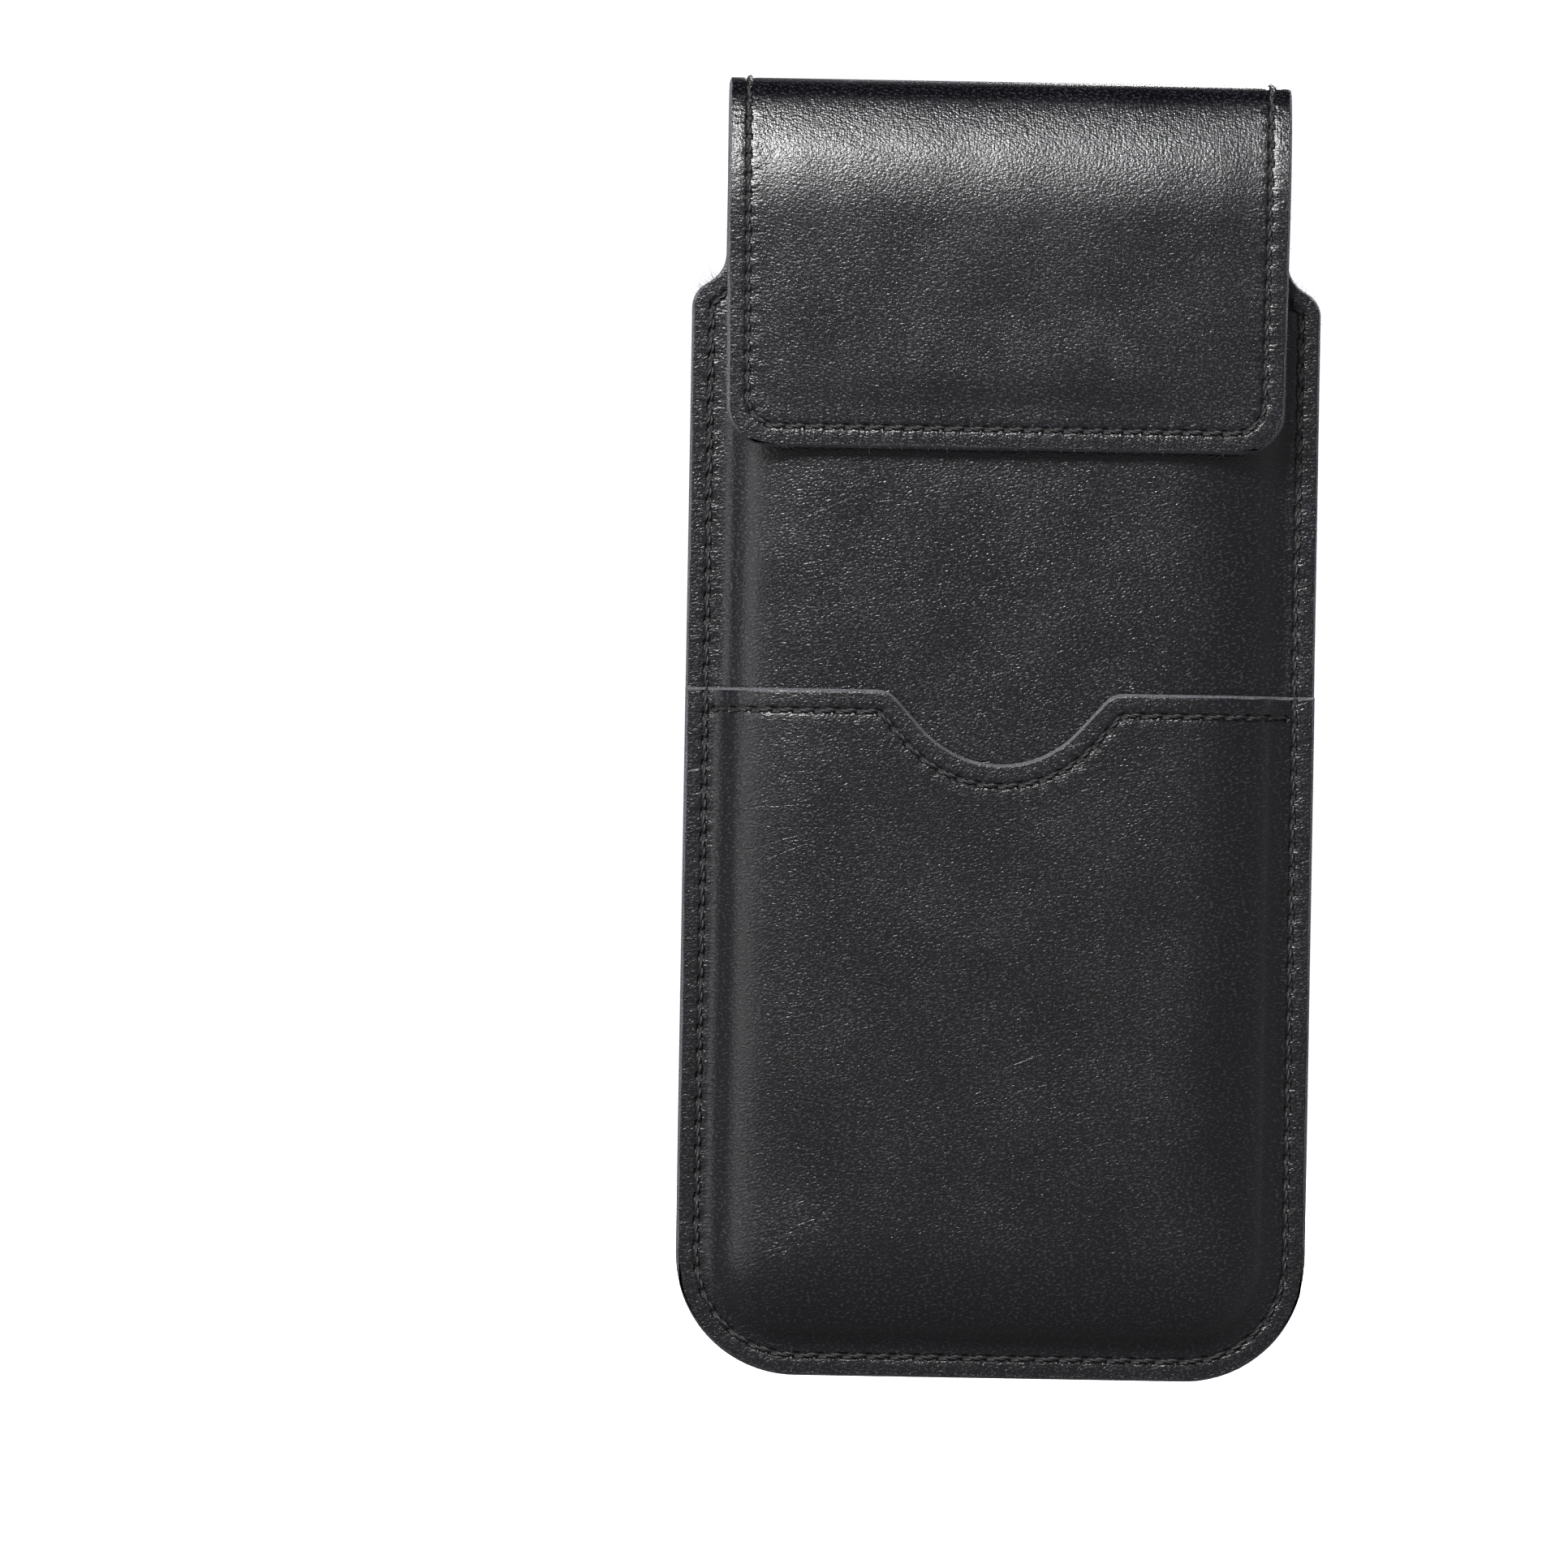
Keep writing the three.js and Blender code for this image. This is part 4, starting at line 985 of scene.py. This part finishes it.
def build_back():
    cuts = FOLD_CUTS
    rows = [*BODY_ROWS, *spread(BODY_ROWS[-1], FOLD_START, 1.4), *spread(FOLD_START, cuts[0], 0.8)]
    for a, b in zip(cuts[:-1], cuts[1:]):
        rows += spread(a, b, 0.4)
    near = [FLAP_END - d for d in reversed(NEAR_EDGE)]
    rows += [*spread(cuts[-1], FLAT_START, 0.9), *spread(FLAT_START, near[0], 1.2), *near[1:]]
    at = [int(np.argmin(np.abs(np.array(rows) - cut))) for cut in cuts]
    u, v = grid(rows, back_half_width(rows))
    seams = [(flap_line(), HEM_STITCH), (perimeter_line(), BODY_STITCH)]
    outer = Sheet(back_surface, u, v, LEATHER, seams, bevel=0.45)
    inner = Sheet(back_surface, u, v, LINING, start_depth=LEATHER + GLUE, bevel=0.12)
    skins = [(outer, "", BACK_LOOK, "back_and_flap_leather", "leather")]
    skins += [(inner, "_inner", LINER, "lining", "lining")]
    for sheet, suffix, look, slot, kind in skins:
        settle(sheet.piece("back_panel" + suffix, look, 0, at[0]), slot, "back_" + kind)
        for i, (a, b) in enumerate(zip(at[:-1], at[1:])):
            bend = sheet.piece(f"fold_{i + 1}{suffix}", look, a, b)
            bend_over(bend, i)
            if i:
                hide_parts(f"fold_{('rear', 'front')[i - 1]}_{kind}")
        settle(sheet.piece("flap" + suffix, look, at[-1]), slot, "flap_" + kind, body="flap")
    slot = "back_and_flap_leather"
    fray("back_panel_fibres", outer, slot, 1.5, 0.4, 4, lambda u, v: v < cuts[0])
    fray("flap_fibres", outer, slot, 2.5, 0.5, 6, lambda u, v: v > cuts[-1], body="flap")
    fray("shoulder_threads_back", outer, slot, 6, 1.2, 7, at_shoulder, THREAD)


def bend_over(piece, hinge):
    """The piece between two of the fold's cuts has its placement baked into its mesh; it is put on no body.
    """
    bodies = ["pouch", "fold_rear", "fold_front", "flap"]
    ends = [place(back_surface(0.0, FOLD_CUTS[hinge + k], STACK / 2)) for k in (0, 1)]
    bodies[hinge + 1]
    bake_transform(piece)


def build_flap_seam():
    """Both sides of the seam round the flap, cut where the fold is."""
    spans = list(zip([0, *FOLD_CUTS], [*FOLD_CUTS, FLAP_END]))
    for face, side, depth in (("outside", 1, 0.0), ("inside", -1, STACK)):
        for i, (low, high) in enumerate(spans):
            made = thread(
                f"flap_stitches_{face}_{i}",
                back_surface,
                flap_line(),
                HEM_STITCH,
                side=side,
                depth=depth,
                pick=lambda u, v, low=low, high=high: (v >= low) & (v < high),
            )
            if 0 < i < len(spans) - 1:
                bend_over(made, i - 1)
            else:
                settle(made, "thread", body="flap" if i else "pouch")
        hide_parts("flap_seam_" + face)


# ---- Belt loop, D-ring and keeper ----
LOOP_HALF, LOOP_FACE, LOOP_TOP = drawn("belt_loop_leather", 1)
LOOP_FOOT = drawn("belt_loop_leather", 0)[2]
LOOP_LEATHER = 1.2
LOOP_LINING = 0.8
LOOP_STACK = LOOP_LEATHER + GLUE + LOOP_LINING
LOOP_LEAN = 14.0
LOOP_BEND = 20.0
LOOP_SEWN = 7.6
LOOP_INNER_LEG = 8.0
LOOP_SEAM_X = LOOP_HALF - 3.4
LOOP_ROWS = (2.3, 6.1)
TAB_LEATHER = 0.8
TAB_STACK = 2 * (TAB_LEATHER + GLUE)


def loop_route():
    """Up from the sewn foot, out and over the belt and down inside, and how far along the roll's top is."""
    stands = LOOP_FACE - BACK_FACE
    rise = stands - LOOP_STACK - GLUE
    lean = radians(LOOP_LEAN)
    slope = (rise - 2 * LOOP_BEND * (1 - cos(lean))) / sin(lean)
    roll = (stands - TAB_STACK - GLUE) / 2
    moves = [(LOOP_SEWN, 0), arc(LOOP_BEND, -LOOP_LEAN), (slope, 0), arc(LOOP_BEND, LOOP_LEAN)]
    moves += [(LOOP_TOP - roll, None), arc(roll, 180), (LOOP_INNER_LEG, 0)]
    rows = route(BACK_FACE + GLUE + LOOP_STACK, LOOP_FOOT, moves, step=0.7)
    return rows, rows[-1][4] - LOOP_INNER_LEG - roll * pi / 2


def build_loop():
    route_rows, over_top = loop_route()
    length = route_rows[-1][4]
    surface = on_route(route_rows)
    rows = strip_rows(length, 0.8)
    u, v = grid(rows, rounded_half(LOOP_HALF, rows, length, 2.0), 1.2, STRIP_EDGE)
    x = LOOP_SEAM_X
    lines = {
        "seam_left": [(x, 1.2), (x, over_top)],
        "seam_right": [(-x, 1.2), (-x, over_top)],
        "row_lower": [(x, LOOP_ROWS[0]), (-x, LOOP_ROWS[0])],
        "row_upper": [(x, LOOP_ROWS[1]), (-x, LOOP_ROWS[1])],
    }
    seams = [(np.array(line), LOOP_STITCH) for line in lines.values()]
    outer = Sheet(surface, u, v, LOOP_LEATHER, seams)
    settle(outer.piece("belt_loop_skin", LOOP_LOOK), "loop_leather", "belt_loop_leather")
    fray("belt_loop_fibres", outer, "loop_leather", 2, 0.45, 8)
    inner = Sheet(surface, u, v, LOOP_LINING, start_depth=LOOP_LEATHER + GLUE, bevel=0.15)
    settle(inner.piece("belt_loop_inner", LINER), "lining", "belt_loop_lining")
    for name, seam in zip(lines, seams):
        sew("belt_loop_stitches_" + name, surface, *seam, "belt_loop_" + name)


RING_WIRE = 1.2
RING_WIDTH = 12.9
RING_RISE = 7.1
RING_CORNER = 1.2
RING_LEAN = radians(8)
TAB_ROOM = 0.45
TAB_HALF = 5.0
TAB_FOOT = drawn("d_ring_tab", 0)[2]
TAB_RISE = (153.3, 3.5)  # where the outer leaf leaves the panel, and over what height
TAB_EDGE = (0, 0.4, 0.8, 1.2)


def build_ring():
    """A straight bar with two small corners and a round bow, which leans back a little."""
    bow = (RING_WIDTH - RING_WIRE) / 2
    bow_z = RING_RISE - RING_WIRE / 2 - bow
    corner_x = sqrt((bow - RING_CORNER) ** 2 - (RING_CORNER - bow_z) ** 2)
    lean = degrees(atan2(RING_CORNER - bow_z, corner_x))
    points = [(x, 0) for x in np.linspace(-corner_x, corner_x, 10)[1:-1]]
    points += arc_points(corner_x, RING_CORNER, RING_CORNER, -90, lean, 10)
    points += arc_points(0, bow_z, bow, lean, 180 - lean, 40)[1:]
    points += arc_points(-corner_x, RING_CORNER, RING_CORNER, 180 - lean, 270, 10)[1:]
    back, up = sin(RING_LEAN), cos(RING_LEAN)
    path = [(x, RING_BAR[1] - z * back, RING_BAR[2] + z * up) for x, z in points]
    settle(wire("d_ring_wire", path, RING_WIRE / 2, NICKEL), "nickel", "d_ring", body="ring")


def build_tab():
    """The strip that holds the ring's bar: up the panel, out round the bar and straight down behind."""
    roll = RING_WIRE / 2 + TAB_ROOM + TAB_LEATHER
    face = BACK_FACE + TAB_STACK
    turn = 2 * atan((RING_BAR[1] + roll - face) / TAB_RISE[1])
    bend = TAB_RISE[1] / 2 / sin(turn)
    moves = [(TAB_RISE[0], None), arc(bend, -degrees(turn)), arc(bend, degrees(turn))]
    moves += [(RING_BAR[2], None), arc(roll, 180), (TAB_FOOT, None)]
    route_rows = route(face, TAB_FOOT, moves)
    rows = strip_rows(route_rows[-1][4], 0.4)
    u, v = grid(rows, np.full(len(rows), TAB_HALF), 0.6, TAB_EDGE)
    tab = Sheet(on_route(route_rows), u, v, TAB_LEATHER, bevel=0.25)
    settle(tab.piece("d_ring_tab_skin", TAB_LOOK), "loop_leather", "d_ring_tab")


KEEPER_LEATHER = 1.6
KEEPER_ROLL = 2.8
KEEPER_LEAN = 17.5
KEEPER_BEND = 2.0
KEEPER_CORNER = 4.0
KEEPER_ROW = (10.0, 3.8)  # half the sewn row's width, and its distance from the lower edge
KEEPER_EDGE = (0, 1.7, 2.2, 2.8, 3.4, 4.1)
KEEPER_HOLE_X = 9.7


def build_keeper():
    """A strip doubled over a roll at its top: the outer leaf leans out, and the inner one hangs straight."""
    low, high = drawn("keeper_tab", 0), drawn("keeper_tab", 1)
    face = BACK_FACE + 2 * (GLUE + KEEPER_LEATHER)
    rise = BACK_FACE + GLUE + 2 * KEEPER_ROLL - face
    turn = radians(KEEPER_LEAN)
    slope = (rise - KEEPER_BEND * (1 - cos(turn))) / sin(turn)
    moves = [(slope, 0), arc(KEEPER_BEND, KEEPER_LEAN), (high[2] - KEEPER_ROLL, None)]
    moves += [arc(KEEPER_ROLL, 180), (low[2], None)]
    route_rows = route(face, low[2], moves, -KEEPER_LEAN)
    surface = on_route(route_rows)
    length = route_rows[-1][4]
    rows = strip_rows(length, 0.5)
    widths = rounded_half(high[0], rows, length, KEEPER_CORNER, both=True)
    u, v = grid(rows, widths, 1.0, KEEPER_EDGE)
    half, above = KEEPER_ROW
    row = np.array([(half, above), (-half, above)])
    over_top = (slope + KEEPER_BEND * turn + length) / 2 - 1.2

    def torn(run):
        """The roll's ends are cut at a slant, which bares the raw leather."""
        return 0.35 + 1.1 * smooth((5.0 - np.abs(run - over_top)) / 1.6)

    keeper = Sheet(surface, u, v, KEEPER_LEATHER, [(row, HEM_STITCH)], bevel=torn)
    awl_hole = (KEEPER_HOLE_X, over_top - 1.6, 0)
    look = leather("keeper_leather", seams=1, grain=0.9, gloss=0.2, pierced=awl_hole)
    settle(keeper.piece("keeper_skin", look), "loop_leather", "keeper_tab")
    fray("keeper_fibres", keeper, "loop_leather", 9, 0.7, 5)
    sew("keeper_stitches", surface, row, HEM_STITCH, "keeper_seam")


# ---- Stage ----
# The studio's walls against 1 for white: everywhere, added to both sides (X), front and rear (Y), and below.
ROOM_LIGHT = 0.1
WALL_LIGHT = (0.22, 0.15, 0.0)
FLOOR_LIGHT = 0.1
BACKDROP_LIGHT = 1.1  # what the camera sees
FLOOR_HALF = 6
FLOOR_WHITE = (0.98, 0.985, 1.0)


def build_world():
    world = bpy.data.worlds.new("studio")
    bpy.context.scene.world = world
    world.use_nodes = True
    nodes = Nodes(world.node_tree)
    direction = nodes.node("TexCoord").outputs["Generated"]
    walls = nodes.dot(nodes.scaled(direction, direction), WALL_LIGHT)
    below = nodes.dot(direction, (0.0, 0.0, -FLOOR_LIGHT))
    seen = nodes.node("LightPath").outputs["Is Camera Ray"]
    level = nodes.node("Mix", {0: seen, 2: walls + below + ROOM_LIGHT, 3: BACKDROP_LIGHT})
    background = nodes.tree.nodes["Background"]
    nodes.link((0.95, 0.95, 1.0), background.inputs["Color"])
    nodes.link(level.outputs[0], background.inputs["Strength"])


def build_floor(z):
    """A white floor that glows, and lights nothing else."""
    corners = [(x * FLOOR_HALF, y * FLOOR_HALF, z) for x, y in ((-1, -1), (1, -1), (1, 1), (-1, 1))]
    mesh = bpy.data.meshes.new("floor")
    mesh.from_pydata(corners, [], [(0, 1, 2, 3)])
    ground = Shader("floor_white", (0.85, 0.85, 0.86), 0.9, specular=0.0)
    ground.drive("Emission Color", FLOOR_WHITE)
    ground.drive("Emission Strength", 0.98)
    mesh.materials.append(ground.material)
    floor = put("floor", mesh)
    floor.visible_diffuse = False
    floor.visible_glossy = False


def softbox(name, target, offset, size, power):
    """A rectangular light at an offset from the point that it faces."""
    light = bpy.data.lights.new(name, "AREA")
    light.shape = "RECTANGLE"
    light.size, light.size_y = size
    light.energy = power
    made = put(name, light)
    made.location = target + Vector(offset)
    made.rotation_mode = "QUATERNION"
    made.rotation_quaternion = (target - made.location).to_track_quat("-Z", "Y")


def build_stage():
    scene = bpy.context.scene
    scene.view_settings.view_transform = "Standard"
    scene.cycles.denoising_prefilter = "NONE"  # keeps the fine grain
    low, high = cad_bounds
    build_world()
    build_floor(low.z - 0.0004)
    top = Vector((0, (low.y + high.y) / 2, high.z))
    middle = (low + high) / 2
    softbox("key", top, (-0.28, -0.65, 0.43), (0.52, 0.2), 13.0)
    softbox("rear_key", top, (0.26, 0.69, 0.38), (0.42, 0.2), 11.5)
    softbox("side", middle, (-1.0, -0.62, 0.15), (0.6, 0.8), 1.9)
    softbox("rear_side", middle, (1.0, 0.62, 0.15), (0.6, 0.8), 3.0)


def build_camera():
    """Straight in front, far away, with the case right of the middle and turned about a degree."""
    low, high = cad_bounds
    width = 0.2328  # of the picture at the case
    distance = 1.7
    camera = bpy.data.cameras.new("camera")
    camera.sensor_width = 36
    camera.lens = camera.sensor_width * distance / width
    middle = (low + high) / 2
    at = Matrix.Translation((middle.x - 0.032, low.y - distance, middle.z - 0.0086))
    roll = Matrix.Rotation(radians(1.0), 4, "Z")
    made = put("camera", camera)
    made.matrix_world = at @ Matrix.Rotation(pi / 2, 4, "X") @ roll
    bpy.context.scene.camera = made


build_front()
build_pocket()
sew_perimeter("front", over_front)
build_back()
sew_perimeter("back", back_surface)
build_flap_seam()
build_loop()
build_ring()
build_tab()
build_keeper()
for hidden in ("closure_plate", "flap_magnet"):
    frame["nodes"][hidden].data.materials.clear()
    frame["nodes"][hidden].data.materials.append(STEEL)
build_stage()
build_camera()
